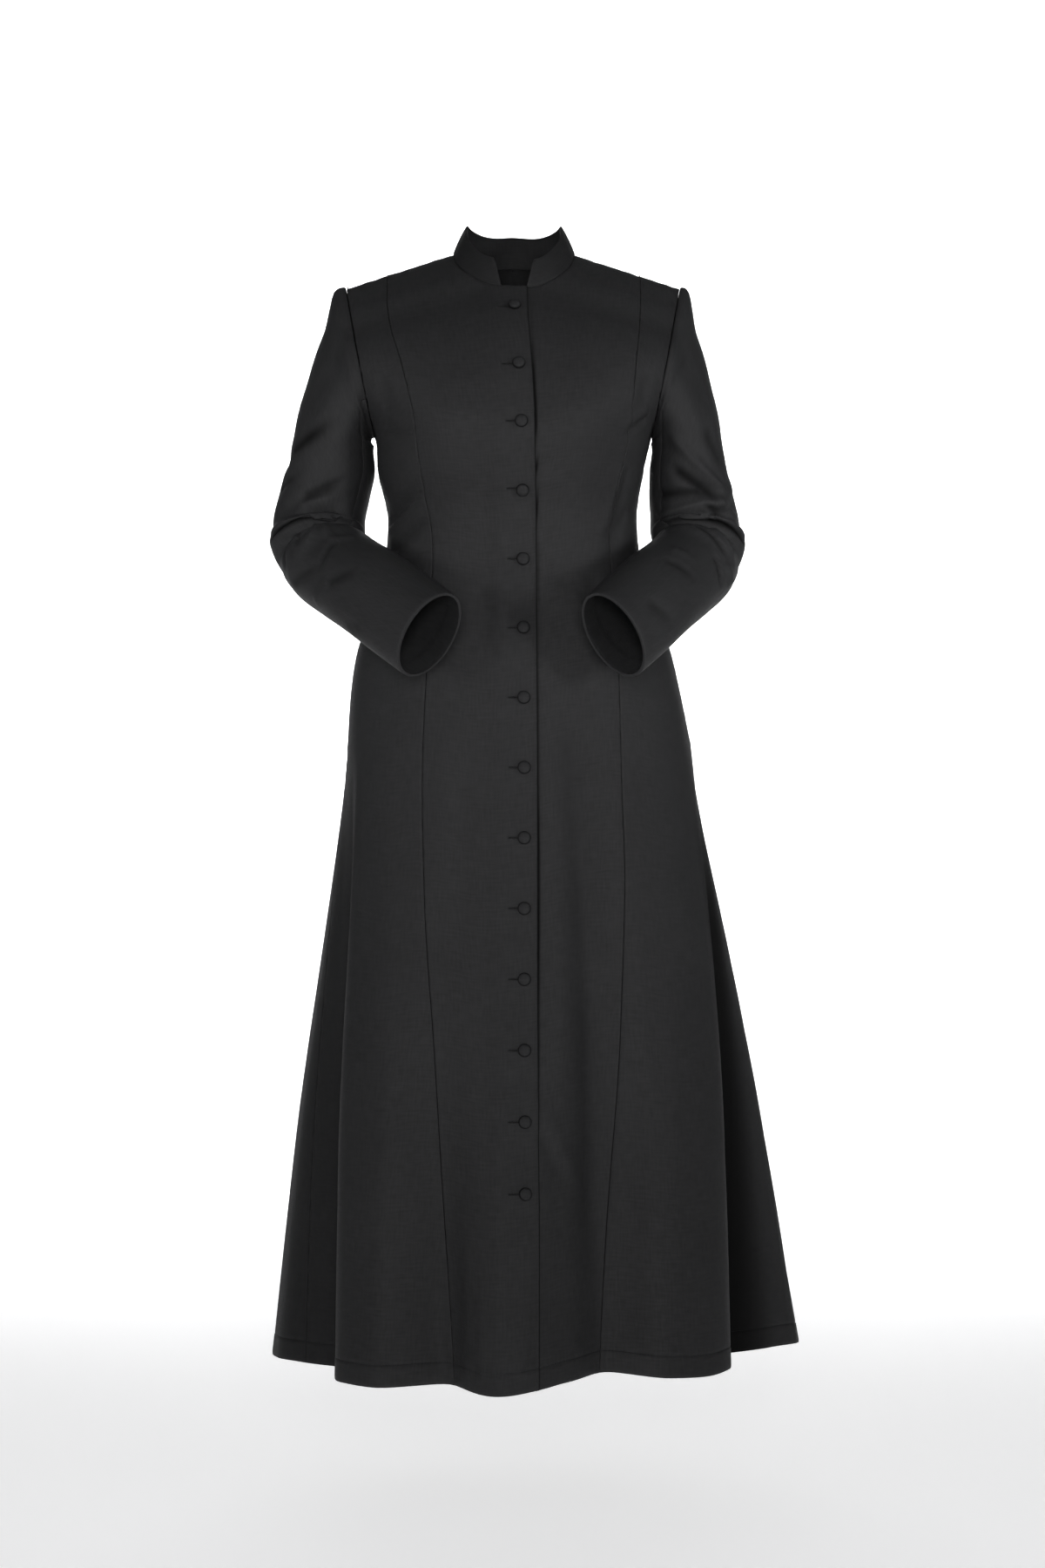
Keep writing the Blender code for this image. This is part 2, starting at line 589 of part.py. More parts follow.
def sleeve_grid(side):
    """Outer and inner points of a whole sleeve: rows along the arm, columns round it."""
    side_name = "left" if side > 0 else "right"
    mirror = np.array([float(side), 1.0, 1.0])
    loop = armhole_loop(side) * mirror
    count = len(loop)
    places = sleeve_places()
    at = {name: smooth(np.arange(len(SLEEVE_RINGS)), SLEEVE[name], places) for name in SLEEVE}
    turn, level = np.radians(at["turn"]), np.zeros(len(places))
    axis = unit(np.array(SLEEVE_BEND_AXIS))
    outwards = turned(np.stack([np.sin(turn), level, np.cos(turn)], axis=-1), axis, at["bend"])
    forwards = turned(np.stack([level, level - 1.0, level], axis=-1), axis, at["bend"])
    centres = np.stack([at["x"] + side * at["sway"], at["y"], at["z"]], axis=-1)
    across = (at["across"] - side * at["fuller"])[:, None]
    deep, roll = at["deep"][:, None], np.radians(at["roll"])[:, None]
    keep = at["loop"][:, None]

    middle = 0.5 * (loop[0] + loop[count // 2])
    loop_out = (loop - middle) @ outwards[0] / SLEEVE["across"][0]
    loop_fore = (loop - middle) @ forwards[0] / SLEEVE["deep"][0]
    degrees = 360.0 * np.arange(count) / count
    angle = np.radians(degrees)[None, :]
    flat, tall = across * np.cos(angle - roll), deep * np.sin(angle - roll)
    out = flat * np.cos(roll) - tall * np.sin(roll)
    fore = flat * np.sin(roll) + tall * np.cos(roll)
    out += keep * (loop_out * across - out)
    fore += keep * (loop_fore * deep - fore)
    grid = centres[:, None] + outwards[:, None] * out[..., None] + forwards[:, None] * fore[..., None]
    leaves = np.cross(outwards[0], forwards[0])
    grid[0] = loop + leaves * SEAM_GAP
    smooth_normals = tube_normals(grid)
    grid += smooth_normals * sleeve_folds(side_name, places, degrees)[..., None]
    normals = unit(2.0 * smooth_normals + tube_normals(grid))  # so a deep fold can't cross itself
    radial = grid[0] - middle
    normals[0] = unit(radial - np.outer(radial @ leaves, leaves))
    for r, share in ((1, 0.75), (2, 0.5), (3, 0.25)):
        normals[r] = unit(normals[0] * share + normals[r] * (1 - share))
    return grid * mirror, (grid - normals * CLOTH) * mirror


def sleeve(side_name, side, collection):
    """Top sleeve and under sleeve, sewn in the crook of the arm and behind the elbow."""
    outer, inner = sleeve_grid(side)
    count = outer.shape[1]
    top = [c % count for c in range(BACK_SLEEVE_SEAM, FRONT_SLEEVE_SEAM + count + 1)]
    under = list(range(FRONT_SLEEVE_SEAM, BACK_SLEEVE_SEAM + 1))
    for name, picked in (("top_sleeve_", top), ("under_sleeve_", under)):
        face, back = outer[:, picked].copy(), inner[:, picked].copy()
        draw_in(face, back, ("first", "last"))
        cloth_wall(name + side_name, face, back, "cloth", collection)


# ---------------------------------------------------------------- buttons
def button_heights():
    heights = [FIRST_BUTTON_Z]
    for count, pitch in BUTTON_RUNS:
        heights += [heights[-1] - pitch * (k + 1) for k in range(count)]
    return heights


def t_at_heights(heights):
    """Distances t up the button line at which the surface is at these heights."""
    low, high = np.zeros(len(heights)), np.full(len(heights), SHOULDER_T)
    for _ in range(40):
        middle = 0.5 * (low + high)
        under = body_points(button_line_angle(middle, 0.0), middle)[:, 2] < heights
        low, high = np.where(under, middle, low), np.where(under, high, middle)
    return low


def button_mesh():
    """A covered button: a domed disc, turned from its profile, with a flat back."""
    radius, height = 0.5 * BUTTON_DIAMETER, BUTTON_HEIGHT
    profile = (
        (0.0, height),
        (0.45 * radius, 0.95 * height),
        (0.80 * radius, 0.74 * height),
        (radius, 0.40 * height),
        (0.93 * radius, 0.08 * height),
        (0.72 * radius, 0.0),
        (0.0, 0.0),
    )
    shell = bmesh.new()
    points = [shell.verts.new((x, 0.0, z)) for x, z in profile]
    for first, second in zip(points, points[1:]):
        shell.edges.new((first, second))
    bmesh.ops.spin(
        shell, geom=shell.verts[:] + shell.edges[:], axis=(0, 0, 1), cent=(0, 0, 0),
        angle=2 * math.pi, steps=BUTTON_SIDES, use_merge=True,
    )
    bmesh.ops.remove_doubles(shell, verts=shell.verts, dist=1e-5)
    bmesh.ops.recalc_face_normals(shell, faces=shell.faces)
    mesh = bpy.data.meshes.new("covered_button")
    shell.to_mesh(mesh)
    shell.free()
    mesh.shade_smooth()
    mesh.materials.append(material("covered_button", "button"))
    return mesh


def cloth_height(tree, centre, normal):
    """The highest that the cloth under a button reaches, along its normal from its centre."""
    above, sideways = 0.010, Vector(normal).orthogonal()
    heights = []
    for ring_share in (0.0, 0.25, 0.5, 0.75, 1.0):
        for k in range(BUTTON_SIDES):
            spoke = Quaternion(normal, 2 * math.pi * k / BUTTON_SIDES) @ sideways
            start = Vector(centre + above * normal) + spoke.normalized() * (
                0.5 * BUTTON_DIAMETER * ring_share
            )
            heights.append(above - tree.ray_cast(start, Vector(-normal))[3])
    return max(heights)


def buttons(cloth, collection):
    """One covered button on each buttonhole, seated on the top layer of the front."""
    mesh = button_mesh()
    cloth.data.calc_loop_triangles()
    tree = BVHTree.FromPolygons(
        [corner.co for corner in cloth.data.vertices],
        [triangle.vertices[:] for triangle in cloth.data.loop_triangles],
    )
    t = t_at_heights(np.array(button_heights()))
    degrees = button_line_angle(t, 0.0)
    normals = body_normals(degrees, t)
    centres = body_points(degrees, t)
    for number, (centre, normal) in enumerate(zip(centres, normals), start=1):
        seat = centre + normal * (cloth_height(tree, centre, normal) + SEAM_GAP)
        made = bpy.data.objects.new(f"button_{number:02d}", mesh)
        made.location = seat
        made.rotation_euler = Vector(normal).to_track_quat("Z", "Y").to_euler()
        collection.objects.link(made)


# ---------------------------------------------------------------- the garment
def main():
    for old in list(bpy.data.objects):
        bpy.data.objects.remove(old)
    collection = bpy.data.collections.new("cassock")
    bpy.context.scene.collection.children.link(collection)
    (top_layer, _), (right_neck, left_neck) = front_panels(collection)
    back_necks = []
    for side_name, side in (("right", -1), ("left", 1)):
        side_panels(side_name, side, collection)
        back_necks.append(back_panel(side_name, side, collection))
        sleeve(side_name, side, collection)
    # from the collar's right front end, round the back, to its left front end
    foot = np.vstack([
        right_neck, back_necks[0][-2::-1], back_necks[1][1:], left_neck[-2::-1],
    ])
    collar(foot, collection)
    buttons(top_layer, collection)


main()
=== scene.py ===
# %% [markdown]
# # A fitted cassock, hanging as it is worn
#
# The garment is a long, close-fitted coat of thin black gaberdine: eight body panels, two
# two-piece sleeves, a stand collar and fourteen covered buttons. Nobody is in it, so each
# panel is a thin wall that keeps the shape the cloth takes round a figure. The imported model
# gives the frame, and every piece here stands in for one of its nodes, with finer folds,
# sewing and cloth.

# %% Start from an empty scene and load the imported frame
import json
import math

import bpy
import numpy as np
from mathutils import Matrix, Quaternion, Vector
from mathutils.bvhtree import BVHTree

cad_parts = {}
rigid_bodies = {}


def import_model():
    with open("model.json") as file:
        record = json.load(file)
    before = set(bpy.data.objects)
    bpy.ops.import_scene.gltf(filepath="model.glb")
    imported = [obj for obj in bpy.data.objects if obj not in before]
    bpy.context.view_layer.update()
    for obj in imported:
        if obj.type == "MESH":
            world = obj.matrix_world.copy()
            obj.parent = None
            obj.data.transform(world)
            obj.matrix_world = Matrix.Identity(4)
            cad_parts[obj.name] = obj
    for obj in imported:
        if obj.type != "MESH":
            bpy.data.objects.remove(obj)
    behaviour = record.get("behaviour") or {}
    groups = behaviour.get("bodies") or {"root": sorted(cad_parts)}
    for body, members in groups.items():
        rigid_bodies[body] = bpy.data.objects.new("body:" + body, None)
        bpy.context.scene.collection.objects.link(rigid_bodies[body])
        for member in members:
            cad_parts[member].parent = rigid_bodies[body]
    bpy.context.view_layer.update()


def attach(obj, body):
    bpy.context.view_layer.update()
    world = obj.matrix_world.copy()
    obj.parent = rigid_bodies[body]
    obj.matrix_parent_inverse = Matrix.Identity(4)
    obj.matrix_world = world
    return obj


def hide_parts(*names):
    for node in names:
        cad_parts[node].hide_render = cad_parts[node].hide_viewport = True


for old in list(bpy.data.objects):
    bpy.data.objects.remove(old)
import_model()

# %% [markdown]
# ## The pattern in numbers
#
# A tailor drafts a cassock from a few girths and heights. The tables below do the same: one
# row for each level of the body, one for each fold of the skirt, and one for each height at
# which the seams are placed. Everything else is worked out from them, so the wall here lies
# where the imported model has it.

# %% Sizes of the cloth, the lap, the neck and the collar
CLOTH = 0.0020  # thickness of the gaberdine wall
COLLAR_CLOTH = 0.0028  # the stand collar is two layers and an interlining
SEAM_GAP = 0.0003  # between pieces that are sewn together
LAP_LIFT = CLOTH + 0.0010  # the buttonhole side lies on the button side
LAP_OVER = 0.0155  # from the button line to the front edge of the top layer
LAP_UNDER = 0.020  # from the button line to the edge of the under layer
LAP_EASE = 0.026  # width over which the top layer comes down again
BUTTON_DIAMETER = 0.0152  # 24 ligne
BUTTON_HEIGHT = 0.0056
TOPSTITCH = 0.0036  # from the free front edge
BUTTON_FACETS = 48
SEAT_SPOKES = 16  # directions in which the cloth under a button is felt
FIRST_BUTTON_Z = -0.0548
BUTTON_RUNS = ((1, 0.0706), (1, 0.0670), (1, 0.0765), (10, 0.0801))  # count and pitch, going down
SQUARENESS = 2.3  # exponent of every oval ring
SHOULDER_DROP = 0.3256  # fall of the shoulder line per metre outwards
SHOULDER_ROUND = 0.020  # rounds that fall off at the middle of the neck
NECK_HALF_WIDTH = 0.072
NECK_FRONT = 0.066
NECK_BACK = 0.068
COLLAR_TOP_HALF_WIDTH = 0.0565
COLLAR_TOP_FRONT = 0.0600
COLLAR_TOP_BACK = 0.0600
COLLAR_FRONT_RISE = 0.0335  # height of the collar at its front ends
COLLAR_BACK_RISE = 0.0370
COLLAR_CORNER = 0.004  # radius of its upper corners
NOTCH_HALF_TOP = 0.0218  # half of the collar's open front, at its top
ARMHOLE_LEAN = 0.192  # outward lean of the armhole, per metre upwards

# %% Levels of the body, folds of the skirt, and seam lines
# All lengths in the tables are in millimetres. Body rings run from the hem up: sway moves a
# ring sideways, and shear tips it along the shoulder.
BODY_RINGS = (
    # z, half, front, back, sway, shear
    (-1285, 280, 220, 275, 27, 0),
    (-1000, 258, 198, 240, 20.7, 0),
    (-800, 235, 178, 205, 16.5, 0),
    (-608, 208.6, 158, 172, 9, 0),
    (-463.5, 188, 140, 150, 0.2, 0),
    (-400, 168, 127, 128, -1, 0),
    (-335, 149.5, 118, 105, -1.6, 0),
    (-297, 147, 121, 103, -2, 0),
    (-242, 156.5, 136, 110, -4, 0),
    (-200, 163, 142, 118, -1, 0),
    (-150, 190, 133.5, 127, -1, 0.15),
    (-100, 215, 114.5, 128, -1.2, 0.4),
    (-60, 228, 91.5, 120, -1.3, 0.65),
    (-27, 232, 65, 104, -1.3, 0.85),
    (0, 233, 46, 81, -1.3, 0.96),
    (18, 233, 27, 54, -1.3, 1),
    (30, 233, 12, 26, -1.3, 1),
    (36.3, 233, 0, 0, -1.3, 1),
)
UNDERARM_RING = 9  # index of the ring at the bottom of the armholes
YOKE_ROWS = 9  # wall rows from the underarm up to the shoulder or the neck

# Fullness of the bust, on each side of the centre: place, spread and reach.
BUST = {"x": 0.085, "z": -0.195, "spread": 0.055, "reach": 0.010}

# Folds round the skirt, a row for each ridge or valley. Angles run from the centre front
# (0) to the wearer's left (90) and the back (180); reach is how far it stands out at the hem.
SKIRT_FOLDS = (
    # hem_angle, top_angle, reach, top_z, drop
    (-180, -180, 4, -420, 0),
    (-166, -168, 16, -420, 1),
    (-151, -154, -24, -420, 0),
    (-136, -140, 22, -440, 2),
    (-119, -122, -20, -500, 0),
    (-96, -98, 37, -560, 2),
    (-82, -88, 0, -560, 0),
    (-67, -82, -40, -560, 0),
    (-57, -76, -50, -560, 0),
    (-48, -68, 18, -560, 0),
    (-42, -60, 34, -560, 0),
    (-31, -42, 42, -600, 1),
    (-19, -22, -4, -660, 0),
    (-6, -6, 34, -860, 7),
    (5, 5, -10, -860, -2),
    (18, 15, -52, -480, -7),
    (32, 30, -18, -560, -2),
    (45, 50, -18, -560, 0),
    (60, 78, -26, -560, -3),
    (67, 82, -68, -560, 0),
    (76, 86, -92, -560, 0),
    (88, 92, -88, -560, 0),
    (103, 100, 10, -560, 0),
    (111, 108, 60, -560, 2),
    (124, 122, -10, -520, 0),
    (137, 140, 22, -440, 2),
    (152, 154, -22, -420, 0),
    (167, 168, 15, -420, 1),
)
FOLD_GROWTH = 1.15  # folds deepen a little faster than straight lines
FOLD_TURN = 0.60  # and take up their hem angles early

# Seam lines by height: sideways places of the button line and of the front princess seams,
# half the width between the back princess seams, and the girth angle of the side seams.
SEAM_LINES = (
    # z, button, left, right, back, side_angle
    (-1285, 12.5, 117.5, -67, 150, 80),
    (-1100, 12.5, 124, -80, 142, 82),
    (-900, 12.2, 130.5, -91, 130, 84),
    (-740, 12, 130, -101, 118, 87),
    (-600, 12, 124, -105, 106, 89),
    (-465, 11.2, 120.5, -100, 92, 90),
    (-335, 10.5, 112.5, -94, 74, 90),
    (-268, 10, 119, -104, 78, 90),
    (-225, 9.5, 130, -111, 83, 90),
    (-180, 8.8, 137, -116, 90, 90),
    (-144, 7, 139.5, -123, 98, 90),
    (-100, 4, 142, -132, 110, 90),
    (-50, 0.6, 146, -143, 128, 90),
    (0, 0, 148.5, -149, 147.5, 90),
    (40, 0, 149, -150, 149, 90),
)

# %% Rings of the sleeves and their largest folds
# Left sleeve, from the armhole to the cuff; the right one mirrors it and adds its sway.
# turn swings a ring from upright at the armhole to across the arm, bend turns it through the
# elbow, loop is how far it keeps the armhole's own outline, roll turns the flat of the oval
# and fuller is how much wider the wearer's right sleeve hangs.
SLEEVE_BEND_AXIS = (-0.826, 0.556, -0.087)
SLEEVE_RINGS = (
    # x, y, z, turn, bend, across, deep, roll, loop, sway, fuller (turns in degrees)
    (180.4, 0, -109.3, 10.87, 0, 92.4, 79.5, 0, 1, -1, 0),
    (184.5, 0, -110, 12.46, 0, 92.7, 79.5, 0, 0.98, -2, 0),
    (187.8, 0, -113.3, 14.53, 0, 90.7, 79, 0, 0.94, -2.8, 0.5),
    (190.1, 0, -123.3, 17.65, 0, 82.1, 78, 0, 0.88, -3.2, 1),
    (192.4, 1, -135.6, 22.14, 0, 71.9, 76, 0, 0.76, -3.6, 1.4),
    (197.7, 2, -151.5, 32.1, 0, 60.8, 72.5, 0, 0.54, -3.8, 1.8),
    (203.3, 3, -174, 50.97, 0, 49.2, 68, 0, 0.27, -4.2, 2.4),
    (208.5, 4, -202.5, 77.8, 0, 45, 64, 0, 0.08, -4.6, 3),
    (211, 6, -232.5, 84, 0, 48.7, 62, 0, 0, -5.5, 3.5),
    (216.8, 10, -266, 84, 3, 51.4, 60, 0, 0, -7.5, 2),
    (222.5, 9, -299, 84, 12, 53.5, 59, -6, 0, -8.5, 1),
    (223, -4, -326.5, 84, 34, 54.5, 57, -14, 0, -6.5, 0),
    (212.5, -37, -350, 84, 56, 53, 52, -22, 0, -3, 0),
    (190, -83, -369.2, 84, 67, 53, 46, -27, 0, 0, 0),
    (164, -129, -388.5, 84, 69, 53.5, 42.5, -28, 0, 2.5, 0),
    (134.5, -169, -413.5, 84, 69, 53.8, 38.5, -32, 0, 5.8, 0),
    (103.6, -207, -439.7, 84, 69, 53.5, 34, -42, 0, 8.8, 0),
)
FRONT_SLEEVE_SEAM = 7  # column of the seam in the crook of the arm, 20 degrees a column
BACK_SLEEVE_SEAM = 15  # column of the seam behind the elbow

# The largest folds of each sleeve: place along the arm in ring numbers, the angle round it
# (0 outer side, 90 front), how far each runs either way, its slant and arch, and its depth.
SLEEVE_FOLDS = (
    # side, ring, angle, half_ring, half_angle, slant, arch, depth
    ("both", 11.15, 80.0, 0.46, 135.0, 0.10, 0.65, -0.0120),
    ("both", 10.55, 65.0, 0.54, 140.0, 0.05, 0.60, 0.0070),
    ("both", 12.00, 80.0, 0.55, 110.0, 0.20, 0.60, 0.0045),
    ("right", 9.60, 60.0, 0.60, 60.0, -0.50, 0.0, -0.0035),
    ("left", 10.00, 60.0, 0.45, 60.0, 0.55, 0.0, -0.0040),
    ("left", 9.30, 45.0, 0.45, 60.0, 0.80, 0.0, 0.0035),
)

# %% [markdown]
# ## Smooth curves through a table
#
# Cloth hangs in smooth lines without wobble between two measured levels. A monotone cubic
# does that: it goes through every row and never overshoots, which a plain spline would.

# %% Read a table as smooth curves
def smooth(knots, values, at):
    """A smooth curve through the knots, with no overshoot, read at any number of places.

    knots and values are either one list, or hold a list for each place.
    """
    at = np.asarray(at, float)
    knots, values = np.asarray(knots, float), np.asarray(values, float)
    if knots.ndim == 1:
        shape = (len(knots),) + (1,) * at.ndim
        knots, values = knots.reshape(shape), values.reshape(shape)
    gaps = np.diff(knots, axis=0)
    slopes = np.diff(values, axis=0) / gaps
    before = 2 * gaps[1:] + gaps[:-1]
    after = gaps[1:] + 2 * gaps[:-1]
    below, above = slopes[:-1], slopes[1:]
    same_way = below * above > 0
    weighted = np.where(same_way, before * above + after * below, 1.0)
    middle = np.where(same_way, (before + after) * below * above / weighted, 0.0)
    tangents = np.concatenate([slopes[:1], middle, slopes[-1:]])

    at = np.clip(at, knots[0], knots[-1])
    cell = np.clip((knots <= at).sum(axis=0) - 1, 0, len(gaps) - 1)

    def pick(array, index):
        spread = np.broadcast_to(array, (len(array),) + at.shape)
        return np.take_along_axis(spread, index[None], axis=0)[0]

    width = pick(gaps, cell)
    share = (at - pick(knots, cell)) / width
    level = pick(values, cell) * (1 + 2 * share) * (1 - share) ** 2
    level += pick(values, cell + 1) * share**2 * (3 - 2 * share)
    lean = pick(tangents, cell) * share * (1 - share) ** 2
    lean -= pick(tangents, cell + 1) * share**2 * (1 - share)
    return level + lean * width


def columns_of(table, names):
    """The table as a dict of its named columns; those named _mm are turned into metres."""
    columns = {}
    for name, values in zip(names.split(), np.array(table, float).T):
        columns[name.removesuffix("_mm")] = values / 1000 if name.endswith("_mm") else values
    return columns


RINGS = columns_of(BODY_RINGS, "z_mm half_mm front_mm back_mm sway_mm shear")
FOLDS = columns_of(SKIRT_FOLDS, "hem_angle top_angle reach_mm top_z_mm drop_mm")
SEAMS = columns_of(SEAM_LINES, "z_mm button_mm left_mm right_mm back_mm side_angle")
SLEEVE = columns_of(
    SLEEVE_RINGS, "x_mm y_mm z_mm turn bend across_mm deep_mm roll loop sway_mm fuller_mm",
)
# Distance up the front of the body: the coordinate t that runs from hem to shoulder.
CLIMB = np.concatenate(
    [[0.0], np.cumsum(np.hypot(np.diff(RINGS["z"]), np.diff(RINGS["front"])))]
)
UNDERARM_T = CLIMB[UNDERARM_RING]
SHOULDER_T = CLIMB[-1]


def ring(name, t):
    return smooth(CLIMB, RINGS[name], t)


def seam(name, z):
    return smooth(SEAMS["z"], SEAMS[name], z)


def signed_power(value, power):
    return np.sign(value) * np.abs(value) ** power


def ease(share):
    """A soft step from 0 to 1."""
    share = np.clip(share, 0.0, 1.0)
    return share * share * (3.0 - 2.0 * share)


def bell(distance, width):
    """1 at no distance, falling away softly to nothing at about twice the width."""
    return np.exp(-((distance / width) ** 2))

# %% [markdown]
# ## One surface for the whole body
#
# Sewn panels meet edge to edge, so they are all laid on one surface: an oval for each level,
# pushed in and out by the skirt's folds and the bust, and tipped along the shoulder line.
# Two numbers find a place on it: the angle round the body and the distance up its front.

# %% The body's surface
def fold_offset(degrees, z):
    """How far the skirt's folds move the wall outwards, and how far its hem drops."""
    low = RINGS["z"][0]
    angles, reaches, drops = [], [], []
    for hem_angle, top_angle, reach, top_z, drop in zip(*FOLDS.values()):
        grown = np.clip((top_z - z) / (top_z - low), 0.0, 1.0)
        angles.append(top_angle + (hem_angle - top_angle) * grown**FOLD_TURN)
        reaches.append(reach * grown**FOLD_GROWTH)
        drops.append(drop * grown**2)
    # the first knots are repeated a turn on, and the last one a turn back, to close the ring
    angles = [angles[-1] - 360.0] + angles + [angles[0] + 360.0, angles[1] + 360.0]
    wrapped = (degrees + 180.0) % 360.0 - 180.0
    out = smooth(angles, [reaches[-1]] + reaches + reaches[:2], wrapped)
    down = smooth(angles, [drops[-1]] + drops + drops[:2], wrapped)
    return out, down


def body_points(degrees, t):
    """The outer surface at girth angles and at distances t up from the hem."""
    degrees, t = np.broadcast_arrays(np.asarray(degrees, float), np.asarray(t, float))
    sine, cosine = np.sin(np.radians(degrees)), np.cos(np.radians(degrees))
    sway, height = ring("sway", t), ring("z", t)
    depth = np.where(cosine >= 0, ring("front", t), ring("back", t))
    x = ring("half", t) * signed_power(sine, 2.0 / SQUARENESS)
    y = -depth * signed_power(cosine, 2.0 / SQUARENESS)
    beside = ((np.abs(x) - BUST["x"]) ** 2 + (height - BUST["z"]) ** 2) / BUST["spread"] ** 2
    y -= BUST["reach"] * np.exp(-beside) * np.clip(cosine, 0.0, 1.0)
    out, down = fold_offset(degrees, height)
    away = np.maximum(np.hypot(x, y), 1e-6)
    x, y = x + out * x / away, y + out * y / away
    fall = SHOULDER_DROP * ring("shear", t) * (np.hypot(x, SHOULDER_ROUND) - SHOULDER_ROUND)
    return np.stack([x + sway, y, height - fall - down], axis=-1)


def unit(vectors):
    return vectors / np.linalg.norm(vectors, axis=-1, keepdims=True)


def body_normals(degrees, t):
    """Unit outward normals of the body surface; the shoulder's crest has one for both sides."""
    turn, climb = 0.4, 0.0015
    low, high = np.maximum(t - climb, 0.0), np.minimum(t + climb, SHOULDER_T)
    around = body_points(degrees + turn, t) - body_points(degrees - turn, t)
    up = body_points(degrees, high) - body_points(degrees, low)
    normals = np.cross(around, up)
    crest = t > SHOULDER_T - climb
    normals[..., 1] = np.where(crest, 0.0, normals[..., 1])
    return unit(normals)

# %% Where the seams run on it
def angle_at_x(x, t, back=False):
    """The girth angle at which the ring at t is at sideways place x."""
    share = np.clip((x - ring("sway", t)) / ring("half", t), -1.0, 1.0)
    degrees = np.degrees(np.arcsin(signed_power(share, SQUARENESS / 2.0)))
    return np.where(share < 0, -180.0, 180.0) - degrees if back else degrees


def side_angle(side, t, back):
    """Where the side seam runs and, above the underarm, the edge of the armhole."""
    fall = SHOULDER_DROP * ring("shear", t)
    rise = ring("z", t) - RINGS["z"][UNDERARM_RING] + fall * SHOULDER_ROUND
    edge = (RINGS["half"][UNDERARM_RING] + ARMHOLE_LEAN * rise) / (1.0 + ARMHOLE_LEAN * fall)
    armhole = angle_at_x(side * edge + ring("sway", t), t, back)
    return np.where(t <= UNDERARM_T, side * seam("side_angle", ring("z", t)), armhole)


def princess_angle(side, t, back):
    height = ring("z", t)
    if back:
        return angle_at_x(side * seam("back", height), t, True)
    return angle_at_x(seam("left" if side > 0 else "right", height), t)


def button_line_angle(t, beyond):
    """The front at a distance beyond the button line, towards the wearer's left."""
    return angle_at_x(seam("button", ring("z", t)) + beyond, t)

# %% [markdown]
# ## Rows and columns of a panel
#
# Each panel is a grid: rows go up the cloth and columns go across it. Rows are about 6 mm
# apart, and closer along the hem so that its fold and stitching have an edge. Columns are
# closer beside a seam, where the cloth rolls into it.

# %% Spread rows and columns
ROW = 0.0066  # metres between rows of the skirt
BODICE_ROW = 0.0036  # and of the bodice, whose creases are finer
HEM_DEPTH = 0.025  # the hem is turned up and stitched this far above its edge
YOKE = 58  # rows from the underarm to the shoulder
HALVINGS = 40  # steps of a search that halves its range each time


def t_of_rings(height):
    """Distance up the front at which the rings are at this height."""
    climb = np.linspace(0.0, SHOULDER_T, 1500)  # close enough to read a height between two
    return np.interp(height, ring("z", climb), climb)


def skirt_rows():
    """Distances up the cloth, from the hem to the underarm."""
    hem = [0.0, 0.0012, 0.004, 0.009, 0.015, 0.02, 0.0233, 0.0245, HEM_DEPTH, 0.0255, 0.0267, 0.03]
    hips = t_of_rings(-0.46)
    skirt = np.linspace(0.036, hips, int((hips - 0.036) / ROW) + 1)[:-1]
    bodice = np.linspace(hips, UNDERARM_T, int((UNDERARM_T - hips) / BODICE_ROW) + 1)[:-1]
    return np.concatenate([hem, skirt, bodice])


def yoke_shares(rows):
    """Row spacing above the underarm: closer together at both ends."""
    even = np.linspace(0.0, 1.0, rows + 1)
    return even - 0.06 * np.sin(2 * math.pi * even)


def across(*runs, sewn=(True, True)):
    """Shares of a panel's width, from runs of (end share, columns), closer beside a sewn edge."""
    out, start = [0.0], 0.0
    for end, count in runs:
        out += [start + (end - start) * (j + 1) / count for j in range(count)]
        start = end
    first = [0.007, 0.016] if sewn[0] else [0.004, 0.011]
    last = [0.984, 0.993] if sewn[1] else [0.989, 0.996]
    return np.array(sorted([0.0, 1.0] + first + last + [v for v in out if 0.02 < v < 0.98]))


rows_up = skirt_rows()
print("rows to a panel:", len(rows_up) + YOKE + 1)

# %% Lay a panel on the surface
# Shaded bands of the skirt: the angles where each one begins and ends, and how dark it is.
VALLEYS = ((69.0, 101.5, 0.92), (-88.0, -60.0, 0.35))
VALLEY_TOP, VALLEY_FADE, VALLEY_EDGE = -0.56, 0.22, 9.0  # height, metres and degrees


def inside_neck(points):
    depth = np.where(points[..., 1] < 0, NECK_FRONT, NECK_BACK)
    return (points[..., 0] / NECK_HALF_WIDTH) ** 2 + (points[..., 1] / depth) ** 2 < 1.0


def column_tops(angle_of, count):
    """How far up each column runs: to the shoulder, or to where the neck opening cuts it."""
    low, high = np.full(count, UNDERARM_T), np.full(count, SHOULDER_T)
    cut = inside_neck(body_points(angle_of(high), high))
    for _ in range(HALVINGS):
        middle = 0.5 * (low + high)
        inside = inside_neck(body_points(angle_of(middle), middle))
        low, high = np.where(inside, low, middle), np.where(inside, middle, high)
    return np.where(cut, low, SHOULDER_T)


def valley_shade(degrees, z):
    """Little light gets into the deep folds at the skirt's sides, behind the front ones."""
    shade = 0.0
    for low, high, most in VALLEYS:
        beyond = abs(degrees - 0.5 * (low + high)) - 0.5 * (high - low)
        shade = shade + most * ease(0.5 - beyond / VALLEY_EDGE)
    return shade * ease((VALLEY_TOP - z) / VALLEY_FADE)


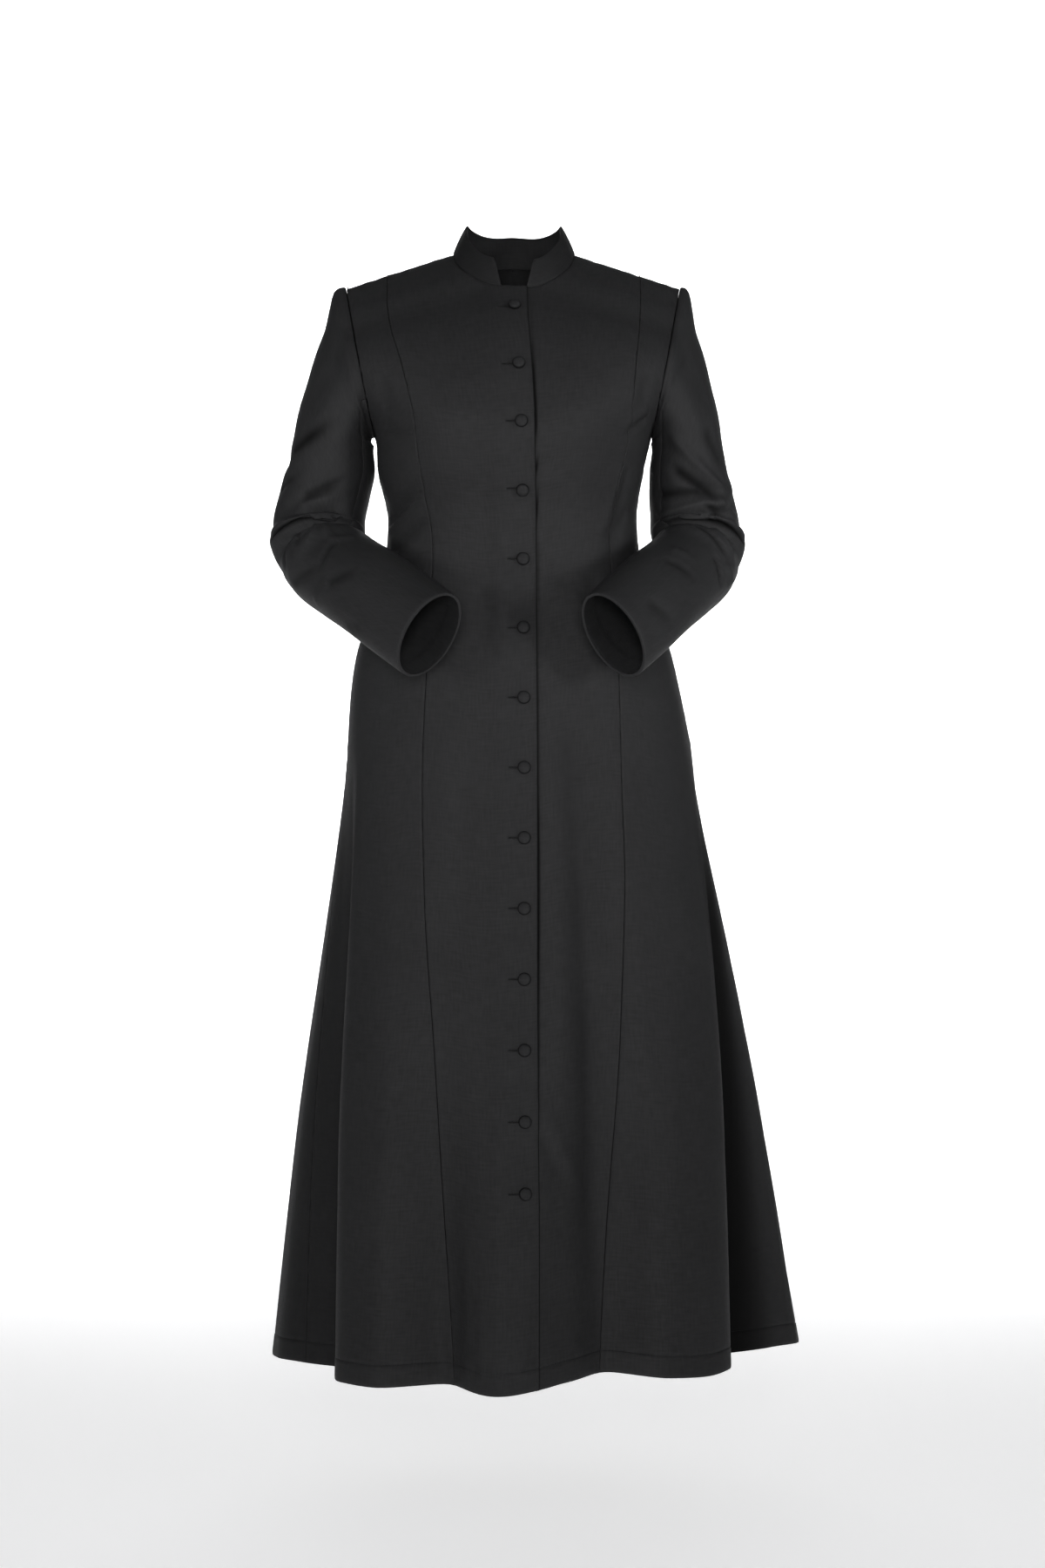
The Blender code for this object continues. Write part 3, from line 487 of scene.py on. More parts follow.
def lay_panel(start, end, shares_across, lift=None):
    """Outer points, normals and valley shade of a panel, as grids of rows by columns."""

    def angle_of(t):
        first = start(t)
        return first + shares_across * (end(t) - first)

    tops = column_tops(angle_of, len(shares_across))
    low = rows_up[:, None] + np.zeros(len(shares_across))
    t = np.vstack([low, UNDERARM_T + yoke_shares(YOKE)[:, None] * (tops - UNDERARM_T)])
    degrees = angle_of(t)
    outer, normals = body_points(degrees, t), body_normals(degrees, t)
    if lift:
        outer = outer + normals * lift(outer)[..., None]
    return outer, normals, valley_shade(degrees, outer[..., 2])


def gaps_along(outer, axis):
    """Distance of each point from the first one of its row (axis 1) or column (axis 0)."""
    steps = np.linalg.norm(np.diff(outer, axis=axis), axis=-1)
    start = np.zeros_like(steps.take([0], axis=axis))
    return np.concatenate([start, np.cumsum(steps, axis=axis)], axis=axis)

# %% [markdown]
# ## Creases
#
# Between its large folds, cloth has soft drags: they start hard at a seam, a button or a
# bend and die away in the open. Each one is a line on the surface with a width and a depth,
# and pushes the points near it in or out. A lean makes one side of it stand up, as where
# cloth folds over itself.

# %% Press a crease into a grid of points
def press(points, normals, line, width, depth, lean, grows, dies):
    """Depth of a crease at each point: it runs along a line of points on the surface.

    Width and depth are in millimetres, and a negative depth is a trough.
    """
    width, depth = width / 1000, depth / 1000
    offset = np.zeros(points.shape[:-1])
    reach = 3.0 * width
    near = ((points > line.min(axis=0) - reach) & (points < line.max(axis=0) + reach)).all(axis=-1)
    if not near.any():
        return offset
    here, out = points[near], normals[near]
    steps = np.diff(line, axis=0)
    lengths = np.linalg.norm(steps, axis=1)
    along = np.concatenate([[0.0], np.cumsum(lengths)]) / lengths.sum()
    closest, share, side = np.full(len(here), np.inf), np.zeros(len(here)), np.ones(len(here))
    for k, step in enumerate(steps):
        run = np.clip((here - line[k]) @ step / lengths[k] ** 2, 0.0, 1.0)
        away = here - line[k] - run[:, None] * step
        gap = np.linalg.norm(away, axis=1)
        nearer = gap < closest
        turn = np.einsum("ij,ij->i", np.cross(step, out), away)
        side = np.where(nearer, np.sign(turn), side)
        share = np.where(nearer, along[k] + (along[k + 1] - along[k]) * run, share)
        closest = np.where(nearer, gap, closest)
    u = side * closest / width
    shape = (1 - abs(lean)) * bell(u, 1.0) + 1.65 * lean * u * bell(u, 1.0)
    offset[near] = depth * shape * ease(share / grows) * ease((1.0 - share) / dies)
    return offset


# %% Creases of the body
# x and z are the two ends of each crease in millimetres, bow is how far its middle stands
# aside. A negative depth is a trough. grows and dies are the shares of its length over which
# it comes and goes.
BODY_CREASES = {
    # x_from, z_from, x_to, z_to, bow, width, depth, lean, grows, dies
    "front": (
        # drags at the armholes, the bust and the waist
        (157, -177, 118, -209, 2, 4.8, -4.2, -0.35, 0.08, 0.55),
        (156, -168, 122, -192, 3, 6, 2.2, 0, 0.1, 0.6),
        (159, -110, 151, -170, -3, 9, -2.6, 0.1, 0.3, 0.2),
        (-158, -120, -148, -178, 4, 10, -2.2, -0.1, 0.3, 0.2),
        (-151, -186, -109, -218, -4, 8, -1.8, 0.2, 0.1, 0.65),
        (-148, -312, -97, -267, 0, 4.6, 3.2, 0.3, 0.1, 0.45),
        (-146, -299, -103, -256, 0, 6.2, -3.6, 0.2, 0.1, 0.5),
        (-144, -330, -89, -291, 0, 6.2, -3.6, 0.2, 0.1, 0.5),
        (-143, -346, -93, -318, 0, 7, 2.2, 0, 0.1, 0.5),
        (-142, -362, -100, -345, 0, 8, -2.2, 0.1, 0.1, 0.6),
        (138, -230, 108, -358, -2, 10, -3.6, 0.2, 0.2, 0.35),
        (133, -286, 117, -326, 0, 7, -2.8, 0.2, 0.15, 0.5),
        (125, -240, 100, -330, 2, 9, 1.8, 0, 0.25, 0.4),
        (-43, -372, -26, -442, 0, 10.5, -1.5, 0, 0.3, 0.4),
        (-18, -380, -4, -440, 0, 11, 1.8, 0, 0.3, 0.4),
        (30, -398, 56, -358, 0, 10, 1.8, 0, 0.3, 0.5),
        (78, -404, 102, -366, 0, 10, -2.6, 0, 0.3, 0.5),
        (130, -378, 88, -425, 4, 13, 1.6, 0, 0.2, 0.6),
        (-90, -440, -45, -482, 2, 11, -1.4, 0.1, 0.2, 0.6),
        # pulls from the buttonholes of the body and the skirt
        (4, -55, -45, -67, 2, 6, -0.6, 0, 0.1, 0.75),
        (5, -120, -55, -115, -2, 6.5, -0.6, 0, 0.1, 0.75),
        (6, -190, -60, -201, 3, 6.5, -0.6, 0.1, 0.1, 0.75),
        (7, -270, -50, -284, 2, 7, -0.6, 0, 0.1, 0.75),
        (20, -618, -43, -640, 4, 12, -0.9, 0.15, 0.1, 0.7),
        (21, -698, -48, -716, -3, 10, -1.1, 0.2, 0.1, 0.7),
        (20.6, -774, -62, -802, 5, 13, -1.7, 0.25, 0.08, 0.7),
        (22, -853, -48, -880, -4, 12, -1.3, 0.2, 0.08, 0.7),
        (22, -936, -52, -968, 6, 14, -1.8, 0.25, 0.08, 0.7),
        (23, -1016, -45, -1060, 5, 13, -1.3, 0.2, 0.08, 0.7),
        (23, -1088, -35, -1128, 4, 12, -1, 0.2, 0.08, 0.7),
        # long soft folds of the skirt's front
        (60, -490, 90, -860, 6, 15, -3.2, 0.1, 0.25, 0.3),
        (87, -800, 93, -1185, 6, 16, -3.8, -0.1, 0.25, 0.3),
        (112, -560, 116, -960, 2, 14, 1.4, 0, 0.3, 0.4),
        (27, -955, 90, -1082, -4, 11, 2.6, 0.15, 0.15, 0.35),
        (28, -995, 72, -1082, -4, 11, -2.4, -0.15, 0.15, 0.45),
        (30, -1050, 48, -1160, -3, 13, 1.2, 0, 0.3, 0.5),
        (-73, -500, -86, -780, -3, 16, 1.8, 0, 0.3, 0.4),
        (-42, -560, -56, -900, -4, 17, -1.6, 0, 0.3, 0.4),
        (-125, -600, -130, -1000, 8, 20, -1.8, 0, 0.3, 0.4),
        (-54, -1060, -47, -1276, 2, 11, 1.8, 0, 0.45, 0.05),
        (-33, -1120, -28.5, -1276, 0, 8.5, 1.4, 0, 0.45, 0.05),
        (-90, -1000, -89, -1276, 3, 15, -1.8, 0, 0.45, 0.05),
        (19, -1070, 9.5, -1272, 2, 12, 2.2, 0, 0.45, 0.05),
        (148, -900, 156.5, -1272, 5, 18, -2.2, 0.1, 0.35, 0.1),
        (182, -800, 197, -1272, 4, 15, 1.6, 0, 0.35, 0.1),
        (-170, -900, -174, -1272, -4, 16, -1.6, 0.1, 0.35, 0.1),
    ),
    "back": (
        # the back: drags at the waist and under the shoulder blades, long folds below
        (150, -150, 105, -190, 3, 11, -1.8, 0.2, 0.1, 0.6),
        (-150, -142, -112, -188, -4, 11, -1.6, 0.2, 0.1, 0.6),
        (128, -262, 80, -305, 5, 10, -2, 0.25, 0.1, 0.6),
        (-130, -280, -76, -318, -4, 10.5, -1.8, 0.25, 0.1, 0.6),
        (70, -330, 15, -352, 3, 9.5, -1.5, 0.2, 0.1, 0.7),
        (-68, -345, -18, -362, 2, 9.5, -1.3, 0.2, 0.1, 0.7),
        (90, -372, 35, -428, 4, 11, 1.2, 0, 0.15, 0.6),
        (-94, -395, -42, -440, -3, 11, 1.1, 0, 0.15, 0.6),
        (55, -520, 68, -840, 5, 17, -2.2, 0.1, 0.3, 0.4),
        (-48, -560, -66, -930, -6, 17, -2, 0.1, 0.3, 0.4),
        (20, -880, 26, -1276, 4, 15, 1.8, 0, 0.35, 0.1),
        (-95, -840, -108, -1276, 5, 16, -2, 0, 0.35, 0.1),
        (122, -760, 146, -1276, -6, 16, -2, 0.1, 0.35, 0.1),
    ),
}


LINE_POINTS, ARM_LINE_POINTS = 13, 15  # along each crease of the body and of a sleeve
DARK_TROUGH = 0.0055  # a trough this deep, in metres, is as dark as any


def trough_shade(depths, most):
    """The deeper a trough, the less light comes back from it."""
    return most * np.clip(-depths / DARK_TROUGH, 0.0, 1.0) ** 1.5


def body_line(face, *place):
    """Points of a crease on the front or the back, between two places in millimetres."""
    x_from, z_from, x_to, z_to, bow = np.array(place) / 1000
    share = np.linspace(0.0, 1.0, LINE_POINTS)
    x = x_from + (x_to - x_from) * share + bow * np.sin(math.pi * share)
    t = t_of_rings(z_from + (z_to - z_from) * share)
    return body_points(angle_at_x(x, t, face == "back"), t)


def body_creases(outer, normals):
    """The panel with its creases pressed in, and the shade of their troughs."""
    total = np.zeros(outer.shape[:-1])
    for face, creases in BODY_CREASES.items():
        facing = normals[..., 1] < 0.25 if face == "front" else normals[..., 1] > -0.25
        for x_from, z_from, x_to, z_to, bow, *profile in creases:
            line = body_line(face, x_from, z_from, x_to, z_to, bow)
            total += facing * press(outer, normals, line, *profile)
    return outer + normals * total[..., None], trough_shade(total, 0.25)


print("creases on the body:", sum(map(len, BODY_CREASES.values())))

# %% [markdown]
# ## Sewing at the edges
#
# A sewn edge isn't a cut line. The cloth rolls into the seam, and the thread draws it into
# small, uneven puckers. The hem is two layers thick up to its stitching, which sinks in a
# little. Both are moves of a fraction of a millimetre, made from each point's distance to
# the edge.

# %% Roll the seams and turn the hem
def pucker(along, seed):
    """An uneven ripple along a seam, from three waves that never meet in step."""
    waves = ((0.017, 1.0), (0.029, 0.8), (0.047, 0.6))  # length and height
    return sum(
        high * np.sin(2 * math.pi * along / length + seed * (k + 1.7))
        for k, (length, high) in enumerate(waves)
    )


def roll_in(offset, gap, along, seed, ripple=0.00022, reach=0.007):
    """Rolls a sewn edge into its seam, and puckers the cloth within reach of it."""
    offset -= 0.0015 * bell(gap, 0.00032)
    offset += ripple * pucker(along, seed) * bell(gap, reach)


def turned_in(from_edge, depth):
    """1 where the cloth is double, out to a depth from its edge, and 0 beyond."""
    return 1.0 - ease((from_edge - depth + 0.0008) / 0.0016)


def sew(outer, normals, sides, seed):
    """Rolls sewn edges into their seams, and gives each point's hem share."""
    wide, high = gaps_along(outer, 1), gaps_along(outer, 0)
    offset = np.zeros(outer.shape[:-1])
    distances = {"first": wide, "last": wide[:, -1:] - wide, "top": high[-1:] - high}
    for name in sides:
        roll_in(offset, distances[name], wide if name == "top" else high, seed)
    hem = turned_in(high, HEM_DEPTH)
    offset += 0.00035 * hem - 0.0007 * bell(high - HEM_DEPTH, 0.0008)
    offset -= 0.0009 * bell(high, 0.0012)
    return outer + normals * offset[..., None], hem


# The four lines of points along each side, from the edge inwards.
EDGES = {
    "first": [np.s_[:, k] for k in range(4)],
    "last": [np.s_[:, -k] for k in range(1, 5)],
    "top": [np.s_[-k, :] for k in range(1, 5)],
}


def crowd(outer, sides):
    """Brings the two lines of points beside a sewn edge to 0.4 and 1 mm from it."""
    for side in sides:
        edge, second, third, fourth = EDGES[side]
        along = unit(outer[fourth] - outer[edge])
        outer[second] = outer[edge] + along * 0.0004
        outer[third] = outer[edge] + along * 0.0010


def draw_in(outer, sides):
    """Moves sewn edges back along the cloth, so that a hair's breadth parts the panels."""
    for side in sides:
        edge, beside = EDGES[side][:2]
        outer[edge] += unit(outer[beside] - outer[edge]) * (0.3 * SEAM_GAP)


def grid_normals(outer, like):
    """Unit normals of a grid of points, on the same side as the ones it had."""
    found = unit(np.cross(np.gradient(outer, axis=1), np.gradient(outer, axis=0)))
    flip = np.sign(np.einsum("...k,...k", found, like))
    return found * np.where(flip == 0, 1.0, flip)[..., None]

# %% [markdown]
# ## Gaberdine
#
# The cloth is a fine black twill of worsted yarn. From a step away it is nearly flat black
# with a soft sheen, and close to it shows steep diagonal ribs about half a millimetre apart
# and faint streaks where a yarn is thicker. The pattern reads each panel's own UV map, which
# is in metres along the cloth's grain, so it follows the panel round the body.

# %% Helpers for materials and objects
def add_object(name, data):
    """A new object of the scene, at the origin and unturned."""
    made = bpy.data.objects.new(name, data)
    bpy.context.scene.collection.objects.link(made)
    return made


def new_material(name):
    """A new material, its node tree and its shader."""
    made = bpy.data.materials.new(name)
    made.use_nodes = True
    return made, made.node_tree, made.node_tree.nodes["Principled BSDF"]


def link(tree, *steps):
    """Joins sockets given as (from node, output, to node, input)."""
    for from_node, output, to_node, entry in steps:
        tree.links.new(from_node.outputs[output], to_node.inputs[entry])


def math_node(tree, operation, *values):
    """A Math node; a value is a number or (node, output)."""
    node = tree.nodes.new("ShaderNodeMath")
    node.operation = operation
    for k, value in enumerate(values):
        if isinstance(value, tuple):
            tree.links.new(value[0].outputs[value[1]], node.inputs[k])
        else:
            node.inputs[k].default_value = value
    return node


def noise(tree, coordinates, scale, detail, stretch=(1.0, 1.0, 1.0)):
    """Soft noise, at so many features to the metre in each direction."""
    node = tree.nodes.new("ShaderNodeTexNoise")
    place = tree.nodes.new("ShaderNodeMapping")
    place.inputs["Scale"].default_value = [scale * s for s in stretch]
    node.inputs["Scale"].default_value = 1.0
    node.inputs["Detail"].default_value = detail
    tree.links.new(coordinates, place.inputs["Vector"])
    tree.links.new(place.outputs[0], node.inputs["Vector"])
    return node


def value_of(tree, name):
    """The value that a mesh holds under this name, as (node, output)."""
    node = tree.nodes.new("ShaderNodeAttribute")
    node.attribute_name = name
    return node, "Fac"


def blend(tree, first, second):
    """A Mix node between two colours."""
    node = tree.nodes.new("ShaderNodeMix")
    node.data_type = "RGBA"
    node.inputs["A"].default_value = (*first, 1.0)
    node.inputs["B"].default_value = (*second, 1.0)
    return node


# %% A material for each kind of cloth
TWILL_RIBS = 1650.0  # to the metre, across the cloth
TWILL_SLOPE = 0.62  # how far a rib leans as it climbs


def gaberdine(name, dark, light, roughness=0.62):
    """Black twill: yarn streaks in its colour, and diagonal ribs in its relief."""
    made, tree, shader = new_material(name)
    shader.inputs["Specular IOR Level"].default_value = 0.12
    shader.inputs["Sheen Weight"].default_value = 0.004
    shader.inputs["Sheen Roughness"].default_value = 0.45
    shader.inputs["Sheen Tint"].default_value = (0.80, 0.82, 0.86, 1.0)
    cloth = tree.nodes.new("ShaderNodeUVMap")
    cloth.uv_map = "grain"
    place = tree.nodes.new("ShaderNodeTexCoord")

    split = tree.nodes.new("ShaderNodeSeparateXYZ")
    tree.links.new(cloth.outputs[0], split.inputs[0])
    slope = math_node(tree, "MULTIPLY", (split, "Y"), TWILL_SLOPE)
    run = math_node(tree, "ADD", (split, "X"), (slope, 0))
    turn = math_node(tree, "MULTIPLY", (run, 0), TWILL_RIBS * 2 * math.pi)
    twill = math_node(tree, "SINE", (turn, 0))
    warp = noise(tree, cloth.outputs[0], 1.0, 2.0, (2600.0, 42.0, 1.0))
    weft = noise(tree, cloth.outputs[0], 1.0, 2.0, (42.0, 2400.0, 1.0))
    yarn = math_node(tree, "ADD", (warp, 0), (math_node(tree, "MULTIPLY", (weft, 0), 0.6), 0))
    slub = math_node(
        tree, "ADD",
        (noise(tree, cloth.outputs[0], 1.0, 1.0, (430.0, 55.0, 1.0)), 0),
        (noise(tree, cloth.outputs[0], 1.0, 1.0, (50.0, 390.0, 1.0)), 0),
    )
    cloud = noise(tree, place.outputs["Object"], 9.0, 3.0)
    tone = -0.75
    for pattern, strength in ((cloud, 0.55), (yarn, 0.45), (slub, 0.75), (twill, 0.10)):
        tone = (math_node(tree, "MULTIPLY_ADD", (pattern, 0), strength, tone), 0)

    ramp = blend(tree, dark, light)
    brushed = math_node(tree, "MULTIPLY_ADD", value_of(tree, "wear"), 0.7, tone)
    lit = math_node(tree, "SUBTRACT", 1.0, value_of(tree, "shade"))
    brushed.use_clamp = lit.use_clamp = True
    darkened = tree.nodes.new("ShaderNodeVectorMath")
    darkened.operation = "SCALE"
    dull = math_node(tree, "MULTIPLY_ADD", (lit, 0), roughness - 1.0, 1.0)

    ribbed = math_node(tree, "MULTIPLY", (twill, 0), 0.6)
    height = math_node(tree, "MULTIPLY_ADD", (yarn, 0), 0.9, (ribbed, 0))
    height = math_node(tree, "MULTIPLY_ADD", value_of(tree, "sunk"), -4.0, (height, 0))
    bump = tree.nodes.new("ShaderNodeBump")
    bump.inputs["Strength"].default_value = 0.55
    bump.inputs["Distance"].default_value = 0.00012
    link(
        tree, (brushed, 0, ramp, "Factor"), (ramp, "Result", darkened, 0),
        (lit, 0, darkened, "Scale"), (darkened, 0, shader, "Base Color"),
        (dull, 0, shader, "Roughness"), (height, 0, bump, "Height"), (bump, 0, shader, "Normal"),
    )
    return made


FINISHES = {
    "cloth": gaberdine("black_gaberdine", (0.01, 0.01, 0.0104), (0.02, 0.02, 0.0208)),
    "collar": gaberdine("collar_gaberdine", (0.007, 0.007, 0.0073), (0.014, 0.014, 0.0146)),
    "button": gaberdine("button_gaberdine", (0.011, 0.011, 0.0115), (0.02, 0.02, 0.0208), 0.7),
}
print("cloths:", ", ".join(m.name for m in FINISHES.values()))

# %% [markdown]
# ## From grids to walls
#
# A Solidify modifier could thicken each panel, but the wall here is thicker along its
# turned-up hem, so the inner face is made from its own points, and a closed rim joins the
# two. Each point also holds three values for the material: wear lightens edges that are
# rubbed, shade darkens troughs and seams, and sunk presses in a line of stitching.

# %% Make a closed wall of cloth
FOLD_ANGLE = 55  # edges sharper than this, in degrees, stay sharp
DOUBLE = 0.45  # how much thicker the wall is where its edge is turned in
pieces = {}  # node name -> the piece that stands for it


def quads(index):
    """Four-sided faces between the neighbours of a grid of point numbers."""
    corners = [index[:-1, :-1], index[:-1, 1:], index[1:, 1:], index[1:, :-1]]
    return np.stack(corners, -1).reshape(-1, 4)


def set_values(attribute, kind, values):
    """Writes one value, or vector, for each point or corner into a mesh's attribute."""
    attribute.data.foreach_set(kind, np.ascontiguousarray(values, np.float32).ravel())


def new_mesh(name, points, faces, finish, uv=None, fold_angle=FOLD_ANGLE, **values):
    """A smooth-shaded object from points and faces, with its grain map and named values."""
    mesh = bpy.data.meshes.new(name)
    faces = faces if isinstance(faces, list) else faces.tolist()
    mesh.from_pydata(points.reshape(-1, 3).tolist(), [], faces)
    if uv is not None:
        corners = np.empty(len(mesh.loops), np.int32)
        mesh.loops.foreach_get("vertex_index", corners)
        set_values(mesh.uv_layers.new(name="grain"), "uv", uv[corners])
    for key, numbers in values.items():
        set_values(mesh.attributes.new(key, "FLOAT", "POINT"), "value", numbers)
    mesh.shade_smooth()
    if fold_angle:
        mesh.set_sharp_from_angle(angle=math.radians(fold_angle))
    mesh.materials.append(finish)
    return add_object(name, mesh)


def grain_of(outer):
    """Distance across the grain, from the middle column, and along it, from the hem."""
    up = unit(np.gradient(outer, axis=0))[:, :-1]
    steps = np.diff(outer, axis=1)
    steps = steps - np.einsum("...k,...k", steps, up)[..., None] * up
    wide = np.zeros(outer.shape[:2])
    wide[:, 1:] = np.cumsum(np.linalg.norm(steps, axis=-1), axis=1)
    return np.stack([wide - wide[:, [outer.shape[1] // 2]], gaps_along(outer, 0)], axis=-1)


def keep(node, piece):
    """Notes which node a piece stands for, and prints its size."""
    pieces[node] = piece
    print(f"{piece.name}: {len(piece.data.polygons)} faces")


def cloth_wall(
    node, outer, normals, double=0.0, tucked=(), thick=CLOTH, finish=FINISHES["cloth"], **values
):
    """Makes the piece of a node: a closed wall under a grid of outer points.

    It is thicker where it is double. On a tucked side the inner layer runs on under its
    neighbour, as a seam allowance does. The named values are those of the outer side.
    """
    thick = thick * (1 + DOUBLE * double)
    rows, columns = outer.shape[:2]
    inner = outer - normals * np.broadcast_to(thick, (rows, columns))[..., None]
    for side in tucked:
        edge, second, third, fourth = EDGES[side]
        onward = unit(inner[third] - inner[fourth])
        reach = np.linalg.norm(outer[edge] - outer[third], axis=-1, keepdims=True) + 0.0009
        inner[second] = inner[third] + 0.5 * reach * onward
        inner[edge] = inner[third] + reach * onward
    index = np.arange(rows * columns).reshape(rows, columns)
    edge = np.concatenate([index[0, :-1], index[:-1, -1], index[-1, :0:-1], index[:0:-1, 0]])
    after = np.roll(edge, -1)
    rim = np.stack([after, edge, edge + rows * columns, after + rows * columns], -1)
    faces = np.vstack([quads(index), quads(index)[:, ::-1] + rows * columns, rim])
    middle = outer[rows // 2, columns // 2 + 1] - outer[rows // 2, columns // 2]
    up = outer[rows // 2 + 1, columns // 2] - outer[rows // 2, columns // 2]
    if np.dot(np.cross(middle, up), normals[rows // 2, columns // 2]) < 0:
        faces = faces[:, ::-1]
    grain = grain_of(outer).reshape(-1, 2)
    both = {}
    for key in ("wear", "sunk", "shade"):
        outside = values.get(key, 0.0) + np.zeros((rows, columns))
        both[key] = np.concatenate([outside, np.zeros((rows, columns))])
    made = new_mesh(
        node + "_cloth", np.concatenate([outer, inner]), faces, finish,
        np.vstack([grain, grain]), **both,
    )
    keep(node, made)

# %% [markdown]
# ## The centre fronts
#
# The wearer's right front lies over the left one, and its free edge runs a thumb's width
# past the buttons. The top layer is lifted by the thickness of the cloth beneath it and
# comes down again past the under layer's edge, which just shows as a soft step.

# %% Lay the two fronts
NECK_SHADE, SHOULDER_SHADE = 0.2, 0.9  # of the top seams of the panels


def neck_share(start, end, side, back):
    """The share of a panel's width, at the shoulder, that the neck opening takes."""
    first, last = start(SHOULDER_T), end(SHOULDER_T)
    return float((angle_at_x(side * NECK_HALF_WIDTH, SHOULDER_T, back) - first) / (last - first))


def lap_lift(points):
    """Height of the buttonhole side over the button side near the front edge."""
    line = seam("button", points[..., 2])
    share = (points[..., 0] - line + LAP_UNDER + LAP_EASE) / (LAP_EASE - 0.002)
    return LAP_LIFT * ease(share)


def seam_shade(outer, top, *sides):
    """Where a rolled edge goes down into its seam, little light comes back."""
    reach = 0.0007
    wide, high = gaps_along(outer, 1), gaps_along(outer, 0)
    gaps = {"first": wide, "last": wide[:, -1:] - wide}
    shade = sum(bell(gaps[side], reach) for side in sides)
    return shade + top * bell(high[-1:] - high, reach)


SIDES = (("right", -1), ("left", 1))  # the wearer's, with the sign of x there
neck_edges, grids = {}, {}  # the collar's foot, and each panel's points and normals


def sew_panel(node, outer, normals, seed, sides, top, in_valleys=0.0, edge=None, topstitch=False):
    """Creases a panel, sews its sides and its top, and makes its wall.

    top is how dark the painted shade of its top seam is, and edge the distance of the lap's
    edge from its first column: a line of painted shade runs along that edge, for the shadow
    at the lap, and on the top layer the edge is topstitched.
    """
    crowd(outer, sides)
    outer, in_creases = body_creases(outer, normals)
    outer, hem = sew(outer, normals, (*sides, "top"), seed)
    draw_in(outer, (*sides, "top"))
    shade, sunk = in_creases + in_valleys + seam_shade(outer, top, *sides), 0.0
    if edge is not None:
        # painted shade: a dark line along the lap's edge
        shade = shade + bell(gaps_along(outer, 1) - edge, 0.0010)
    if topstitch:
        sunk = bell(gaps_along(outer, 1) - TOPSTITCH, 0.0009)
    rubbed = 0.8 * np.exp(-gaps_along(outer, 0) / 0.0022)
    cloth_wall(node, outer, normals, hem, (*sides, "top"), wear=rubbed, sunk=sunk, shade=shade)
    grids[node] = (outer, grid_normals(outer, normals))


# How far each front runs past the button line, and the collar's end as a share of the neck.
for (side_name, side), beyond, collar_end in zip(SIDES, (LAP_OVER, -LAP_UNDER), (0.295, 0.318)):
    start = lambda t: button_line_angle(t, beyond)
    end = lambda t: princess_angle(side, t, False)
    neck = neck_share(start, end, side, False)
    columns = across((collar_end * neck, 7), (neck, 17), (1.0, 22), sewn=(False, True))
    outer, normals, _ = lay_panel(start, end, columns, lap_lift if side < 0 else None)
    first = int(np.argmin(abs(columns - collar_end * neck)))
    last = int(np.argmin(abs(columns - neck)))
    neck_edges[side_name] = outer[-1, first : last + 1].copy()
    # painted shade: on the top layer along its own free edge, on the under layer just past the
    # lap's edge, where the top layer shades it
    edge = 0.0 if side < 0 else LAP_UNDER + LAP_OVER + 0.0006  # its own, or just past the lap's
    sew_panel(
        "front_" + side_name, outer, normals, 0.3 * side, ("last",), NECK_SHADE,
        edge=edge, topstitch=side < 0,
    )

# %% [markdown]
# ## Side fronts, side backs and backs
#
# The six panels behind the princess seams are cut and sewn alike. The side panels end at the
# armhole, and the backs meet along the centre back seam.

# %% Lay the other six panels
for side_name, side in SIDES:
    laid = {
        "side_front": (
            lambda t: princess_angle(side, t, False), lambda t: side_angle(side, t, False),
            across((1.0, 46)),
        ),
        "side_back": (
            lambda t: side_angle(side, t, True), lambda t: princess_angle(side, t, True),
            across((1.0, 46)),
        ),
    }
    back_start, back_end = (lambda t: 180.0 * side + 0.0 * t), laid["side_back"][1]
    neck = neck_share(back_start, back_end, side, True)
    laid["back"] = (back_start, back_end, across((neck, 22), (1.0, 20)))
    for kind, (start, end, columns) in laid.items():
        outer, normals, in_valleys = lay_panel(start, end, columns)
        if kind == "back":
            last = int(np.argmin(abs(columns - neck)))
            neck_edges["back_" + side_name] = outer[-1, : last + 1].copy()
        sew_panel(
            f"{kind}_{side_name}", outer, normals, side + 0.4 * len(kind), ("first", "last"),
            NECK_SHADE if kind == "back" else SHOULDER_SHADE, in_valleys,
        )

# %% [markdown]
# ## The stand collar
#
# One stiff band stands on the neck edge. It leans in with the neck, its front ends slope
# away from each other, and its outside is a little full, because two layers are turned over
# an interlining. Its corners are turned, so they are round.

